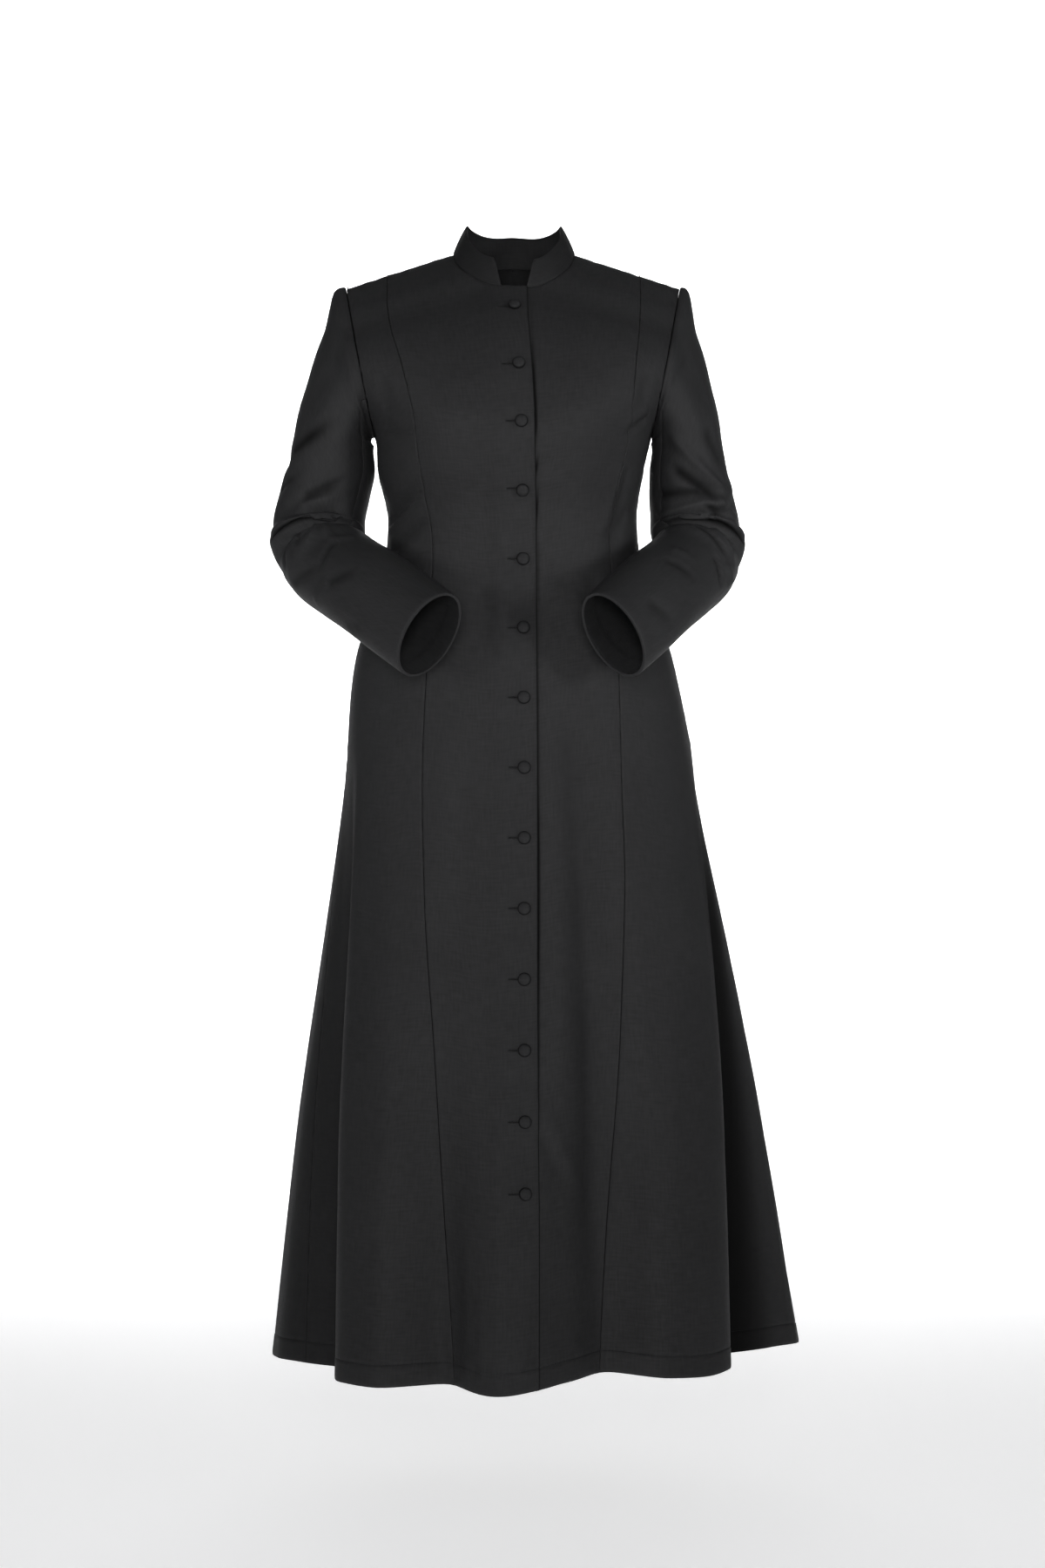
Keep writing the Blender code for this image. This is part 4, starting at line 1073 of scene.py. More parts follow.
# %% Stand the collar on the neck edge
def stand_collar(foot):
    """Outer points of the collar, from its right front end round the back to its left one."""
    notch = math.asin(NOTCH_HALF_TOP / COLLAR_TOP_HALF_WIDTH)
    along = np.concatenate([[0.0], np.cumsum(np.linalg.norm(np.diff(foot, axis=0), axis=1))])
    around = notch + (2 * math.pi - 2 * notch) * along / along[-1]
    depth = np.where(np.cos(around) > 0, COLLAR_TOP_FRONT, COLLAR_TOP_BACK)
    backness = 0.5 - 0.5 * np.cos(around)
    rise = COLLAR_FRONT_RISE + (COLLAR_BACK_RISE - COLLAR_FRONT_RISE) * backness
    head = np.stack([
        -COLLAR_TOP_HALF_WIDTH * np.sin(around), -depth * np.cos(around), foot[:, 2] + rise,
    ], axis=-1)
    ends = np.minimum(along, along[-1] - along)
    into = (1 - ends / COLLAR_CORNER).clip(0, 1)
    head[:, 2] -= COLLAR_CORNER * (1.0 - np.sqrt(np.clip(1 - into**2, 0, 1)))
    begin = foot - unit(head - foot) * 0.0011  # its foot is tucked into the seam
    share = np.concatenate([[0, 0.02, 0.05], np.linspace(0.10, 0.94, 14), [0.97, 0.99, 1.0]])
    outer = begin + (head - begin) * share[:, None, None]
    normals = grid_normals(outer, outer * (1, 1, 0) - (0, 0.004, 0))
    full = 0.0012 * np.sin(math.pi * share) ** 0.8 - 0.0008 * bell(share, 0.03)
    full -= 0.0008 * bell(1 - share, 0.025)
    outer = outer + normals * full[:, None, None]
    return outer, grid_normals(outer, normals), along


foot = np.vstack([
    neck_edges["right"], neck_edges["back_right"][-2::-1],
    neck_edges["back_left"][1:], neck_edges["left"][-2::-1],
])
outer, normals, along = stand_collar(foot)
high = gaps_along(outer, 0)
from_rim = np.minimum(np.minimum(along, along[-1] - along)[None, :], high[-1:] - high)
cloth_wall(
    "collar", outer, normals, thick=COLLAR_CLOTH, finish=FINISHES["collar"],
    wear=0.9 * np.exp(-from_rim / 0.0016),
)

# %% [markdown]
# ## Sleeves
#
# A sleeve is a tube of rings. Near the armhole each ring keeps the armhole's own outline, so
# that the sleeve is sewn in without a gap, and further down it becomes the oval of an arm,
# bent through the elbow with the forearm held forward. The inside of the bend is where cloth
# has nowhere to go: it buckles into a deep crease, with smaller ones round it.

# %% Rings, folds and creases of a sleeve
SLEEVE_COUNT = 7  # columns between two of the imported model's
CROOK_RINGS = (10, 11)  # rings of the elbow's crook, with the closest rows

SLEEVE_CREASES = {
    # ring, angle, to_ring, to_angle, bow, width, depth, lean, grows, dies
    "right": (
        # right: the sharp buckle of the elbow's crook, and the small folds caught under it
        (10.5, 6, 10.86, 124, 0, 4.8, -8.6, -0.42, 0.1, 0.1),
        (10.98, 44, 11.12, 108, 0, 2.8, 3.1, 0, 0.25, 0.25),
        (11.22, 48, 11.5, 106, 0.05, 2.7, -3.9, -0.3, 0.25, 0.25),
        (11.45, 44, 11.92, 114, 0.05, 3.4, 3.4, 0.2, 0.25, 0.3),
        (11.25, 70, 12.15, 50, 0, 3.6, -3.4, 0.3, 0.2, 0.5),
        (11.7, 90, 12.25, 57, 0, 4.2, 2.9, 0.2, 0.2, 0.5),
        (11.3, 34, 11.95, 12, 0, 5, -3.4, 0.3, 0.2, 0.5),
        (11.8, 94, 12.75, 86, 0, 5, 3.4, 0.3, 0.15, 0.3),
        (12.66, 90, 13.05, 38, 0, 6, -4.2, 0.45, 0.15, 0.5),
        (12.66, 84, 13, 114, 0, 5, 3.6, 0.3, 0.15, 0.3),
        (13.48, 32, 14.16, 76, 0.05, 8, -4.2, 0.3, 0.2, 0.5),
        (12.2, -2, 13.15, 56, 0, 7.2, -3.9, 0.3, 0.2, 0.5),
        (13.1, -6, 13.6, 40, 0.05, 7.5, 2.3, 0, 0.2, 0.5),
        (14.4, -12, 15.1, 22, 0, 9, -2.3, 0.2, 0.2, 0.55),
        (9.38, 60, 8.4, 122, 0, 6.2, -5.2, -0.35, 0.2, 0.45),
        (9.64, 58, 8.86, 126, 0.12, 7, 3.6, 0, 0.2, 0.5),
        (8.3, -10, 5.9, 118, 0.2, 10.5, -6.2, 0.3, 0.1, 0.4),
        (8, 12, 5.8, 96, 0.3, 10.5, 2.9, 0, 0.2, 0.5),
        (9, 6, 8.46, 58, 0, 7.5, -3.9, 0.2, 0.15, 0.5),
        (10.05, 118, 9.7, 66, 0.05, 6.5, -3.1, 0.2, 0.15, 0.5),
    ),
    "left": (
        # left: longer folds above the crook, and hollows below its outer side
        (10.66, 4, 10.88, 118, 0, 4.8, -8.6, -0.42, 0.08, 0.1),
        (6.2, 134, 9.15, 34, 0.15, 5.8, 5.5, 0.3, 0.2, 0.2),
        (7.9, 126, 9.36, 48, 0.05, 7.2, -5.7, 0.2, 0.25, 0.25),
        (9, 158, 9.02, 58, 0.12, 6.4, -5.5, -0.3, 0.2, 0.25),
        (10, 154, 9.34, 60, 0.05, 5.8, 4.7, 0.2, 0.2, 0.25),
        (9.7, 84, 10.5, 32, 0, 4.2, -5.7, -0.45, 0.2, 0.3),
        (9.4, 60, 10.1, 20, 0, 5, 3.9, 0, 0.2, 0.3),
        (6.6, 60, 8.4, 18, 0.1, 10, -3.9, 0.2, 0.25, 0.4),
        (11, 30, 11.2, 92, 0, 3, 2.9, 0, 0.25, 0.25),
        (11.7, 100, 12.16, 32, 0.1, 4.6, -5.2, 0.45, 0.15, 0.35),
        (11.5, 82, 11.95, 28, 0.05, 5, 3.9, 0, 0.2, 0.3),
        (12.5, 56, 12.8, 8, 0, 4.6, -5.2, 0.4, 0.15, 0.35),
        (12.36, 38, 12.3, -2, 0, 5.2, 3.9, 0, 0.2, 0.3),
        (13.98, 94, 13.6, 38, 0, 6.8, -3.9, 0.3, 0.2, 0.5),
        (13.55, 100, 13.25, 60, 0, 7, 2.6, 0, 0.2, 0.5),
        (15.32, 66, 14.88, 16, 0, 8, -2.9, 0.2, 0.2, 0.5),
    ),
    "both": (
        # behind the elbow the cloth is stretched, with shallow drags from the seam
        (10.6, 262, 9.7, 214, 0.1, 10, -1.6, 0.2, 0.15, 0.6),
        (11.4, 248, 12.3, 206, 0.1, 9.5, -1.4, 0.2, 0.15, 0.6),
        (4.6, 60, 7.2, 44, 0.1, 13, -1.6, 0.1, 0.25, 0.55),
        (4.4, 118, 6.8, 132, 0, 13, 1.4, 0, 0.25, 0.55),
        (4.6, 238, 7.4, 250, 0.1, 13, -1.6, 0.1, 0.25, 0.55),
    ),
}


def armhole_loop(side):
    """Points of the armhole, from the shoulder down the front and up the back."""
    t = UNDERARM_T + (SHOULDER_T - UNDERARM_T) * yoke_shares(YOKE_ROWS * SLEEVE_COUNT)
    front = body_points(side_angle(side, t, False), t)
    back = body_points(side_angle(side, t, True), t)
    return np.vstack([front[::-1], back[1:-1]])


def turned(vectors, axis, degrees):
    """Rotates vectors about a unit axis, each by its own angle."""
    angle = np.radians(degrees)[:, None]
    along = axis * (vectors @ axis)[:, None] * (1 - np.cos(angle))
    return vectors * np.cos(angle) + np.cross(axis, vectors) * np.sin(angle) + along


def sleeve_places():
    """Ring numbers of the wall rows, from the armhole to the cuff."""
    places = [0.0, 0.3, 1.0, 1.5, 2.0, 2.5]
    for k in range(3, len(SLEEVE_RINGS) - 1):
        count = 22 if k in CROOK_RINGS else 13 if k > 7 else 7
        places += list(np.linspace(k, k + 1, count + 1)[:-1])
    cuff = len(SLEEVE_RINGS) - 1.0
    return np.array(places + [cuff - 0.05, cuff - 0.02, cuff])


def sleeve_folds(side_name, places, degrees):
    """Height of the sleeve's folds at places along it and angles round it."""
    height = np.zeros((len(places), len(degrees)))
    for side, at_ring, at_angle, half_ring, half_angle, slant, arch, depth in SLEEVE_FOLDS:
        if side not in ("both", side_name):
            continue
        away = ((degrees - at_angle + 180.0) % 360.0 - 180.0)[None, :] / half_angle
        middle = at_ring + slant * away + arch * away**2
        along = (places[:, None] - middle) / half_ring
        along /= 1.0 - 0.40 * np.clip(away, -1, 1) ** 2  # a fold tapers towards its ends
        bump = np.cos(0.5 * math.pi * np.clip(along, -1, 1)) ** 2
        height += depth * bump * np.cos(0.5 * math.pi * np.clip(away, -1, 1)) ** 2
    return height


def tube_normals(grid):
    """Outward normals of a tube of rings whose columns run round from outside to front."""
    around = np.roll(grid, -1, axis=1) - np.roll(grid, 1, axis=1)
    return unit(np.cross(around, np.gradient(grid, axis=0)))


def sleeve_grid(side):
    """A whole sleeve: points in rows along the arm, its normals and the shade of its troughs."""
    side_name = "left" if side > 0 else "right"
    mirror = np.array([float(side), 1.0, 1.0])
    loop = armhole_loop(side) * mirror
    count = len(loop)
    places = sleeve_places()
    at = {name: smooth(np.arange(len(SLEEVE_RINGS)), SLEEVE[name], places) for name in SLEEVE}
    turn, level = np.radians(at["turn"]), np.zeros(len(places))
    axis = unit(np.array(SLEEVE_BEND_AXIS))
    outwards = turned(np.stack([np.sin(turn), level, np.cos(turn)], axis=-1), axis, at["bend"])
    forwards = turned(np.stack([level, level - 1.0, level], axis=-1), axis, at["bend"])
    centres = np.stack([at["x"] + side * at["sway"], at["y"], at["z"]], axis=-1)
    across = (at["across"] - side * at["fuller"])[:, None]
    deep, roll = at["deep"][:, None], np.radians(at["roll"])[:, None]
    kept = at["loop"][:, None]

    middle = 0.5 * (loop[0] + loop[count // 2])
    loop_out = (loop - middle) @ outwards[0] / SLEEVE["across"][0]
    loop_fore = (loop - middle) @ forwards[0] / SLEEVE["deep"][0]
    degrees = 360.0 * np.arange(count) / count
    angle = np.radians(degrees)[None, :]
    flat, tall = across * np.cos(angle - roll), deep * np.sin(angle - roll)
    out = flat * np.cos(roll) - tall * np.sin(roll)
    fore = flat * np.sin(roll) + tall * np.cos(roll)
    out += kept * (loop_out * across - out)
    fore += kept * (loop_fore * deep - fore)
    grid = centres[:, None] + outwards[:, None] * out[..., None]
    grid += forwards[:, None] * fore[..., None]
    leaves = np.cross(outwards[0], forwards[0])
    grid[0] = loop + leaves * SEAM_GAP
    grid += tube_normals(grid) * sleeve_folds(side_name, places, degrees)[..., None]
    depths, deepest = sleeve_creases(side_name, places, grid, tube_normals(grid))
    grid += tube_normals(grid) * depths[..., None]
    normals = tube_normals(grid)
    radial = grid[0] - middle
    normals[0] = unit(radial - np.outer(radial @ leaves, leaves))
    for r in range(1, 8):
        share = 1.0 - ease(places[r] / 4.0)
        normals[r] = unit(normals[0] * share + normals[r] * (1 - share))
    return grid, normals, trough_shade(deepest, 1.0)


def grid_at(grid, rows, columns):
    """Points of a ringed grid at fractional rows and columns; columns go round."""
    r = np.clip(rows, 0, len(grid) - 1.001)
    low, c = r.astype(int), np.floor(columns).astype(int)
    fr, fc = (r - low)[:, None], (columns - c)[:, None]
    c0, c1 = c % grid.shape[1], (c + 1) % grid.shape[1]
    first = grid[low, c0] * (1 - fc) + grid[low, c1] * fc
    return first * (1 - fr) + (grid[low + 1, c0] * (1 - fc) + grid[low + 1, c1] * fc) * fr


def sleeve_creases(side_name, places, grid, normals):
    """The creases' depths added up, and the deepest single one at each point."""
    total, deepest = np.zeros(grid.shape[:-1]), np.zeros(grid.shape[:-1])
    share = np.linspace(0.0, 1.0, ARM_LINE_POINTS)
    for ring_from, angle_from, ring_to, angle_to, bow, *profile in (
        *SLEEVE_CREASES[side_name], *SLEEVE_CREASES["both"],
    ):
        rings = ring_from + (ring_to - ring_from) * share + bow * np.sin(math.pi * share)
        rows = np.interp(rings, places, np.arange(len(places)))
        angles = angle_from + (angle_to - angle_from) * share
        line = grid_at(grid, rows, angles / 360.0 * grid.shape[1])
        offset = press(grid, normals, line, *profile)
        total += offset
        deepest = np.minimum(deepest, offset)
    return total, deepest


# %% Make both sleeves
TURN_IN = 0.030  # the cuff is turned in this far
for side_name, side in SIDES:
    grid, normals, in_creases = sleeve_grid(side)
    mirror = np.array([float(side), 1.0, 1.0])
    count = grid.shape[1]
    front_seam = FRONT_SLEEVE_SEAM * SLEEVE_COUNT
    back_seam = BACK_SLEEVE_SEAM * SLEEVE_COUNT
    picks = {
        "top_sleeve": [c % count for c in range(back_seam, front_seam + count + 1)],
        "under_sleeve": list(range(front_seam, back_seam + 1)),
    }
    for kind, picked in picks.items():
        face, out = grid[:, picked] * mirror, normals[:, picked] * mirror
        crowd(face, ("first", "last"))
        wide, high = gaps_along(face, 1), gaps_along(face, 0)
        to_cuff = high[-1:] - high
        offset = -0.0007 * bell(to_cuff, 0.0011)
        for gap in (wide, wide[:, -1:] - wide):
            roll_in(offset, gap, high, side * 2.0, 0.0002, 0.006)
        face = face + out * offset[..., None]
        draw_in(face, ("first", "last"))
        shade = in_creases[:, picked] + seam_shade(face, 0.0, "first", "last")
        cloth_wall(
            f"{kind}_{side_name}", face, out, turned_in(to_cuff, TURN_IN), ("first", "last"),
            wear=0.8 * np.exp(-to_cuff / 0.002), shade=shade + bell(high, 0.0013),
        )

# %% [markdown]
# ## Stitches
#
# Thread is what repeats here: a running stitch along the front edge and the hem, and close
# satin stitches round each buttonhole. Along each slit, near-black beads are painted shade for
# the shadow in the cut. One Geometry Nodes tree makes them all. It walks along a
# line at a fixed pitch, lays a small rounded stitch at each step, flat on the cloth, and
# turns it along the line or across it.

# %% A node tree that sews along a line
def sewing_tree(finish):
    """Stitches along a mesh line whose points hold the cloth's outward direction."""
    tree = bpy.data.node_groups.new("sewing", "GeometryNodeTree")
    sockets = tree.interface
    sockets.new_socket("Geometry", in_out="INPUT", socket_type="NodeSocketGeometry")
    for label, value in (
        ("Pitch", 0.003), ("Stitch Length", 0.0024), ("Thread Width", 0.0004),
        ("Thread Height", 0.0003), ("Turn", 0.0),
    ):
        socket = sockets.new_socket(label, in_out="INPUT", socket_type="NodeSocketFloat")
        socket.default_value = value
    sockets.new_socket("Geometry", in_out="OUTPUT", socket_type="NodeSocketGeometry")

    def node(kind, **settings):
        made = tree.nodes.new(kind)
        for key, value in settings.items():
            setattr(made, key, value)
        return made

    entry, leave = node("NodeGroupInput"), node("NodeGroupOutput")
    walk = node("GeometryNodeMeshToCurve")
    pace = node("GeometryNodeResampleCurve", mode="LENGTH")
    out = node("GeometryNodeInputNamedAttribute", data_type="FLOAT_VECTOR")
    out.inputs["Name"].default_value = "out"
    ahead = node("GeometryNodeInputTangent")
    flat = node("FunctionNodeAlignRotationToVector", axis="Z")
    along = node("FunctionNodeAlignRotationToVector", axis="X", pivot_axis="Z")
    size = node("ShaderNodeCombineXYZ")
    turn = node("ShaderNodeCombineXYZ")
    bead = node("GeometryNodeMeshIcoSphere")
    bead.inputs["Radius"].default_value = 0.5
    bead.inputs["Subdivisions"].default_value = 1
    shape = node("GeometryNodeTransform")
    lay = node("GeometryNodeInstanceOnPoints")
    real = node("GeometryNodeRealizeInstances")
    smooth_node = node("GeometryNodeSetShadeSmooth")
    colour = node("GeometryNodeSetMaterial")
    colour.inputs["Material"].default_value = finish
    link(
        tree,
        (entry, "Geometry", walk, "Mesh"), (walk, "Curve", pace, "Curve"),
        (entry, "Pitch", pace, "Length"), (pace, "Curve", lay, "Points"),
        (entry, "Stitch Length", size, "X"), (entry, "Thread Width", size, "Y"),
        (entry, "Thread Height", size, "Z"), (entry, "Turn", turn, "Z"),
        (size, 0, shape, "Scale"), (turn, 0, shape, "Rotation"),
        (bead, "Mesh", shape, "Geometry"), (shape, 0, lay, "Instance"),
        (out, 0, flat, "Vector"), (flat, 0, along, "Rotation"), (ahead, 0, along, "Vector"),
        (along, 0, lay, "Rotation"), (lay, 0, real, 0), (real, 0, smooth_node, 0),
        (smooth_node, 0, colour, 0), (colour, 0, leave, 0),
    )
    return tree


def thread(name, colour):
    """Sewing thread, a little uneven in its colour.

    Made near-black, it also stands for the painted shade along the buttonhole slits.
    """
    made, tree, shader = new_material(name)
    shader.inputs["Roughness"].default_value = 0.55
    shader.inputs["Specular IOR Level"].default_value = 0.15
    place = tree.nodes.new("ShaderNodeTexCoord")
    twist = noise(tree, place.outputs["Object"], 2200.0, 1.0)
    tone = blend(tree, [0.8 * c for c in colour], [1.3 * c for c in colour])
    link(tree, (twist, 0, tone, "Factor"), (tone, "Result", shader, "Base Color"))
    return made


SEWING = {
    "thread": sewing_tree(thread("black_thread", (0.012, 0.012, 0.0126))),
    "buttonhole": sewing_tree(thread("buttonhole_thread", (0.0125, 0.0125, 0.013))),
    # near-black beads along each buttonhole's slit are painted shade, for the shadow in the cut
    "slit": sewing_tree(thread("slit_painted_shade", (0.0015, 0.0015, 0.0015))),
}

# %% Sew along lines of points
INPUT_NAMES = ("Pitch", "Stitch Length", "Thread Width", "Thread Height", "Turn")
STITCHES = {
    # pitch, length, width and height in metres, turn in radians
    "edge": (0.0031, 0.0025, 0.00042, 0.00032, 0.0),
    "hem": (0.0033, 0.0022, 0.0004, 0.0003, 0.0),
    "satin": (0.00042, 0.0013, 0.0004, 0.00042, math.pi / 2),
    # the slit: near-black beads of painted shade
    "slit": (0.0010, 0.0024, 0.0008, 0.00045, 0.0),
}
sewing_on = {}  # node name -> the pieces of sewing on it


def sewn(node, name, tree, lines, stitch):
    """Runs a sewing tree along lines of (points, outward directions) and keeps the mesh."""
    points = np.concatenate([p for p, _ in lines])
    outwards = np.concatenate([o for _, o in lines])
    edges, base = [], 0
    for p, _ in lines:
        edges += [(base + k, base + k + 1) for k in range(len(p) - 1)]
        base += len(p)
    mesh = bpy.data.meshes.new(name + "_line")
    mesh.from_pydata(points.tolist(), edges, [])
    set_values(mesh.attributes.new("out", "FLOAT_VECTOR", "POINT"), "vector", outwards)
    guide = add_object(name + "_line", mesh)
    modifier = guide.modifiers.new("sewing", "NODES")
    modifier.node_group = tree
    inputs = dict(zip(INPUT_NAMES, STITCHES[stitch]))
    for item in tree.interface.items_tree:
        if item.name in inputs:
            modifier[item.identifier] = float(inputs[item.name])
    graph = bpy.context.evaluated_depsgraph_get()
    graph.update()
    made_mesh = bpy.data.meshes.new_from_object(guide.evaluated_get(graph))
    made_mesh.name = name
    sewing_on.setdefault(node, []).append(add_object(name, made_mesh))
    bpy.data.objects.remove(guide)
    print(f"{name}: {len(made_mesh.polygons)} faces")


def line_across(outer, normals, distance):
    """Points at a distance from the first column, one for each row."""
    wide = gaps_along(outer, 1)
    at = np.array([np.interp(distance, row, np.arange(len(row))) for row in wide])
    low, share = at.astype(int), (at - at.astype(int))[:, None]
    r = np.arange(len(outer))
    high = np.minimum(low + 1, outer.shape[1] - 1)
    points = outer[r, low] * (1 - share) + outer[r, high] * share
    return points, unit(normals[r, low] * (1 - share) + normals[r, high] * share)


THREAD_SINKS, THREAD_LIES = 0.00005, 0.0001  # into the lap's edge, and above the hem
points, outwards = line_across(*grids["front_right"], TOPSTITCH)
edge_line = (points - outwards * THREAD_SINKS, outwards)
sewn("front_right", "front_edge_stitching", SEWING["thread"], [edge_line], "edge")
hem_row = int(np.argmin(abs(rows_up - HEM_DEPTH)))
for node, (outer, normals) in grids.items():
    line = (outer[hem_row] + normals[hem_row] * THREAD_LIES, normals[hem_row])
    sewn(node, f"{node}_hem_stitching", SEWING["thread"], [line], "hem")

# %% [markdown]
# ## Covered buttons
#
# Each button is a metal shell with a disc of the same cloth drawn over it, so it has a low
# dome, a soft shoulder and an edge that turns under. A profile is turned round the button's
# axis. The cloth's grain runs straight across the dome.

# %% Find each button's seat on the top layer
def button_heights():
    heights = [FIRST_BUTTON_Z]
    for count, pitch in BUTTON_RUNS:
        heights += [heights[-1] - pitch * (k + 1) for k in range(count)]
    return heights


def t_at_heights(heights):
    """Distances t up the button line at which the surface is at these heights."""
    low, high = np.zeros(len(heights)), np.full(len(heights), SHOULDER_T)
    for _ in range(HALVINGS):
        middle = 0.5 * (low + high)
        under = body_points(button_line_angle(middle, 0.0), middle)[:, 2] < heights
        low, high = np.where(under, middle, low), np.where(under, high, middle)
    return low


def cloth_height(tree, centre, normal):
    """The highest that the cloth under a button reaches, along its normal from its centre."""
    above, sideways = 0.010, Vector(normal).orthogonal()
    heights = []
    for ring_share in (0.0, 0.25, 0.5, 0.75, 1.0):
        for k in range(SEAT_SPOKES):
            spoke = Quaternion(normal, 2 * math.pi * k / SEAT_SPOKES) @ sideways
            start = Vector(centre + above * normal) + spoke.normalized() * (
                0.5 * BUTTON_DIAMETER * ring_share
            )
            heights.append(above - tree.ray_cast(start, Vector(-normal))[3])
    return max(heights)


top_layer = pieces["front_right"].data
corners = np.empty(len(top_layer.vertices) * 3)
top_layer.vertices.foreach_get("co", corners)
top_tree = BVHTree.FromPolygons(
    corners.reshape(-1, 3).tolist(), [tuple(face.vertices) for face in top_layer.polygons],
)
t = t_at_heights(np.array(button_heights()))
degrees = button_line_angle(t, 0.0)
button_normals = body_normals(degrees, t)
button_centres = body_points(degrees, t)
print("buttons from", np.round(button_centres[0], 4), "to", np.round(button_centres[-1], 4))

# %% Turn the buttons
def covered_button(name, seat, normal):
    """A domed disc standing on its seat, with the cloth's grain upright."""
    profile = np.array([
        (0.001, 1.0), (0.16, 0.997), (0.34, 0.975), (0.52, 0.925), (0.68, 0.84), (0.81, 0.725),
        (0.90, 0.60), (0.965, 0.47), (0.995, 0.36), (0.995, 0.27), (0.965, 0.16), (0.91, 0.07),
        (0.82, 0.02), (0.70, 0.0), (0.001, 0.0),
    ]) * (0.5 * BUTTON_DIAMETER, BUTTON_HEIGHT)
    turn = 2 * math.pi * np.arange(BUTTON_FACETS) / BUTTON_FACETS
    up = Vector(normal)
    right = Vector((1.0, 0.0, 0.0))
    right = (right - up * right.dot(up)).normalized()
    over = up.cross(right)
    local = np.stack([
        profile[:, None, 0] * np.cos(turn), profile[:, None, 0] * np.sin(turn),
        profile[:, None, 1] + 0.0 * turn,
    ], axis=-1)
    points = seat + local @ np.array([right, over, up])
    index = np.arange(points.shape[0] * BUTTON_FACETS).reshape(-1, BUTTON_FACETS)
    ends = [index[0].tolist(), index[-1][::-1].tolist()]
    index = np.hstack([index, index[:, :1]])
    # the side turns under, out of the light
    under = 1.0 - ease((local[..., 2] / BUTTON_HEIGHT - 0.50) / 0.25)
    return new_mesh(
        name, points, quads(index)[:, ::-1].tolist() + ends, FINISHES["button"],
        local[..., :2].reshape(-1, 2), fold_angle=None, shade=0.9 * under,
    )


for number, (centre, normal) in enumerate(zip(button_centres, button_normals), start=1):
    seat = centre + normal * (cloth_height(top_tree, centre, normal) + SEAM_GAP)
    keep(f"button_{number:02d}", covered_button(f"button_{number:02d}_covered", seat, normal))

# %% [markdown]
# ## Buttonholes
#
# Each one is a slit across the top layer, worked all round in close satin stitches, longer
# at the neck than in the skirt. A near-black line along the slit is painted shade, for the
# shadow in the cut. The button sits at the end nearest the front edge, so only
# the outer half of the hole shows.

# %% Work the buttonholes
HOLE_REACH = (0.0190, 0.0175)  # from the button's middle to the far end: neck, and the rest
HOLE_PAST, HOLE_RISE = 0.004, 0.0004  # how far it runs past the button, and lies above it
HOLE_HALF_WIDTH, HOLE_END = 0.00095, 0.0007
HOLE_STEPS = 12
SATIN_LIFT, SLIT_SHADE_LIFT = 0.00012, 0.00008  # how far each thread lies above the cloth
BEFORE_ALL = -0.6  # a y in front of the whole garment


def along_hole(first, last, z):
    """Places (x, z) from one end of a buttonhole to the other."""
    return [(first + (last - first) * k / HOLE_STEPS, z) for k in range(HOLE_STEPS + 1)]


def on_top_layer(places, lift):
    """Points of the top layer in front of the places, and the directions out of it."""
    ahead = Vector((0.0, 1.0, 0.0))
    hits = [top_tree.ray_cast(Vector((x, BEFORE_ALL, z)), ahead)[:2] for x, z in places]
    return np.array([point + out * lift for point, out in hits]), np.array([o for _, o in hits])


worked, slit_shades = [], []
for number, (x, _, z) in enumerate(button_centres, start=1):
    reach = HOLE_REACH[0 if number <= 2 else 1]
    left, right, level = x - reach, x + HOLE_PAST, z + HOLE_RISE
    loop = along_hole(left, right, level + HOLE_HALF_WIDTH) + [(right + HOLE_END, level)]
    loop += along_hole(right, left, level - HOLE_HALF_WIDTH) + [(left - HOLE_END, level)]
    worked.append(on_top_layer(loop + loop[:1], SATIN_LIFT))
    # the slit's near-black line is painted shade
    slit_shades.append(on_top_layer(along_hole(left, right, level), SLIT_SHADE_LIFT))
sewn("front_right", "buttonhole_stitching", SEWING["buttonhole"], worked, "satin")
sewn("front_right", "buttonhole_slit_shade", SEWING["slit"], slit_shades, "slit")

# %% [markdown]
# ## Hang it in the frame
#
# Every piece takes the place of its node, whose own part is hidden, and rides on the one body.

for node, piece in pieces.items():
    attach(piece, "root")
    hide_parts(node)
for node, sewing in sewing_on.items():
    for piece in sewing:
        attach(piece, "root")

# %% [markdown]
# ## A pale studio
#
# Black cloth shows its shape only by the little light that it sends back. One large soft
# light stands far in front, a little above the middle of the garment, and two small ones fill
# in the sleeves. The rest light the pale floor and the wall behind, and are kept off the
# cloth, because light from behind makes black cloth shine like leather along its edges.

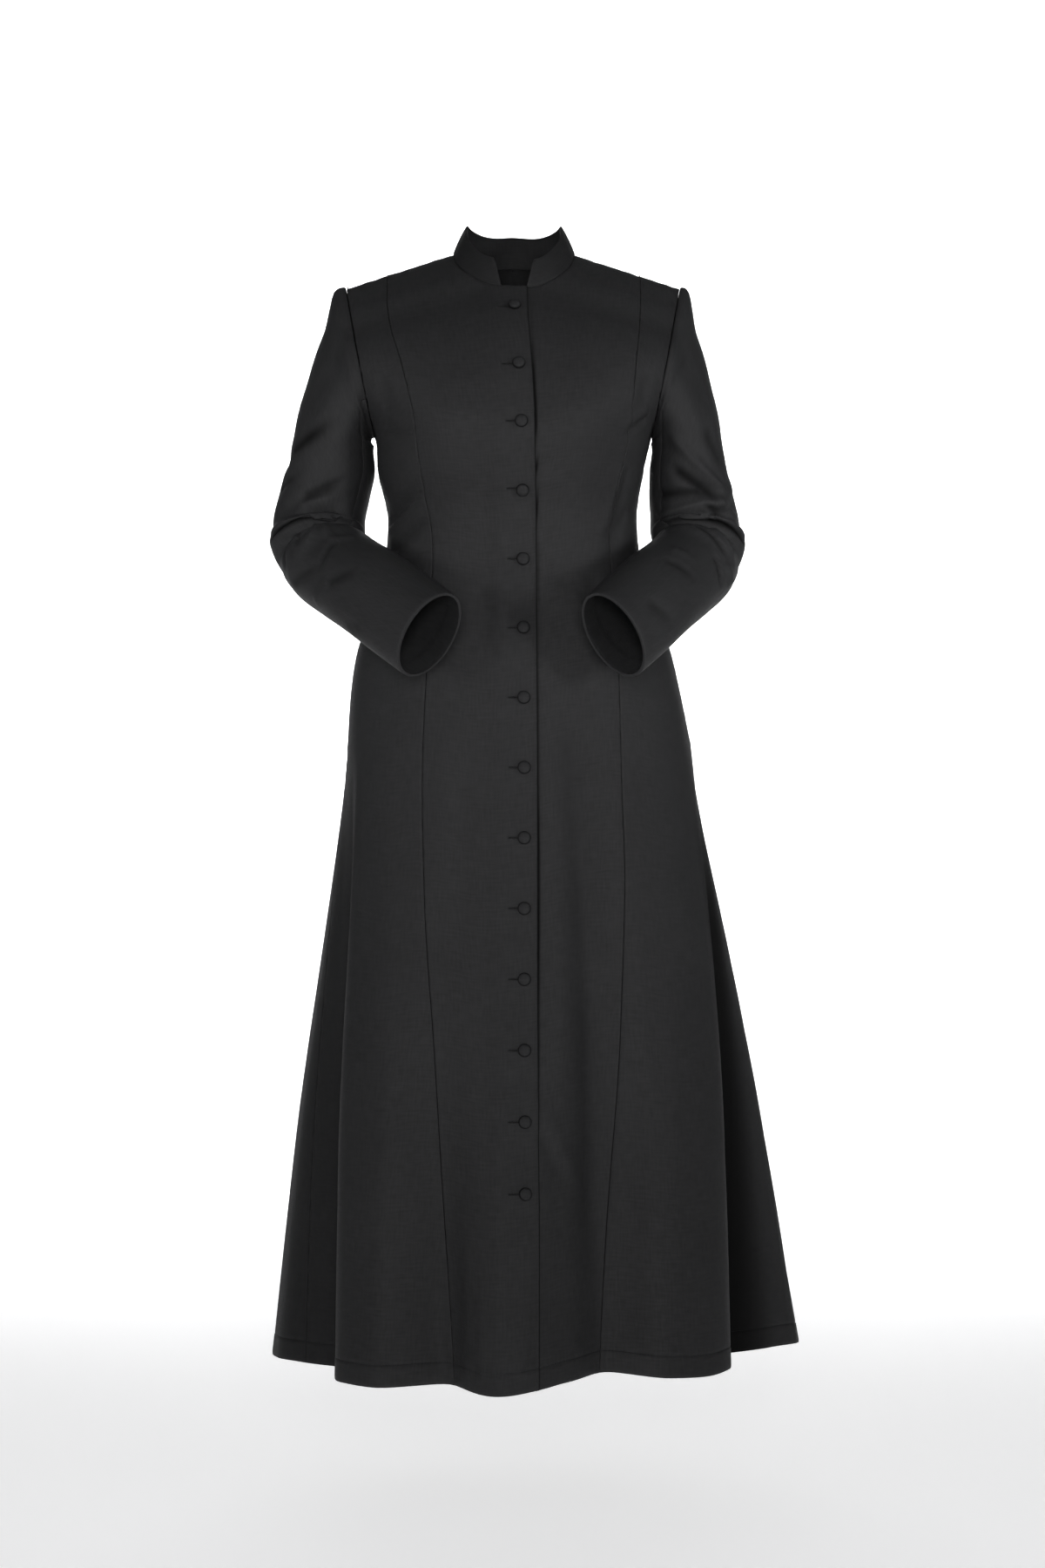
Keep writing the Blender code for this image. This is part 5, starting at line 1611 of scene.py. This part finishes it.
# %% Floor, light and camera
def studio_sheet(name, floor_z, wall_y, width, radius):
    """A floor that curves up into a wall."""
    turn = np.linspace(0.0, 0.5 * math.pi, 17)
    run = [(-4.0, floor_z)]
    for a in turn:
        y, z = wall_y - radius + radius * math.sin(a), floor_z + radius - radius * math.cos(a)
        run.append((y, z))
    run.append((wall_y, floor_z + 9.0))
    points = np.array([[(x, y, z) for x in (-width, width)] for y, z in run])
    index = np.arange(len(run) * 2).reshape(-1, 2)
    made, _, shader = new_material("studio_white")
    shader.inputs["Base Color"].default_value = (0.90, 0.90, 0.91, 1.0)
    shader.inputs["Roughness"].default_value = 0.9
    shader.inputs["Emission Color"].default_value = (1.0, 1.0, 1.0, 1.0)
    shader.inputs["Emission Strength"].default_value = 0.58  # a sheet lit through from below
    return new_mesh(name, points, quads(index), made)


studio_sheet("studio_sheet", -1.43, 9.0, 4.0, 4.0)


def soft_light(name, at, aim, size, power, spread):
    """A soft box; a smaller spread, in degrees, keeps its light off what it isn't aimed at."""
    light = bpy.data.lights.new(name, "AREA")
    light.shape, light.size, light.size_y, light.energy = "RECTANGLE", *size, power
    light.spread = math.radians(spread)
    made = add_object(name, light)
    made.location = at
    made.rotation_euler = (Vector(at) - Vector(aim)).to_track_quat("Z", "Y").to_euler()


soft_light("key", (0.0, -5.2, -0.25), (0.0, 0.0, -0.50), (1.4, 1.5), 13.5, 47.0)
soft_light("sleeve_light_left", (-2.6, -2.0, 0.0), (-0.46, -0.1, -0.26), (0.6, 0.9), 1.0, 24.0)
soft_light("sleeve_light_right", (2.6, -2.0, 0.0), (0.46, -0.1, -0.26), (0.6, 0.9), 1.8, 24.0)
soft_light("floor_light", (0.0, 3.4, 1.9), (0.0, 3.4, -1.43), (2.4, 1.2), 30.0, 80.0)
soft_light("wall_left", (-3.0, 4.4, 1.2), (-0.9, 8.5, 0.2), (1.6, 1.6), 120.0, 110.0)
soft_light("wall_right", (3.0, 4.4, 1.2), (0.9, 8.5, 0.2), (1.6, 1.6), 120.0, 110.0)

world = bpy.data.worlds.new("pale_room")
bpy.context.scene.world = world
world.use_nodes = True
room = world.node_tree.nodes["Background"]
room.inputs["Color"].default_value = (0.95, 0.96, 1.0, 1.0)
room.inputs["Strength"].default_value = 0.08
bpy.context.scene.view_settings.view_transform = "Standard"

# The distance and the height of the frame, in one unit, set the angle that the lens takes in.
FRAME_DISTANCE, FRAME_HEIGHT = 4369.0, 1800.0
eye = bpy.data.cameras.new("camera")
eye.sensor_width, eye.lens = 36.0, 36.0 * FRAME_DISTANCE / FRAME_HEIGHT
camera = add_object("camera", eye)
camera.location, camera.rotation_euler = (0.010, -4.5, -0.6077), (0.5 * math.pi, 0.0, 0.0)
bpy.context.scene.camera = camera
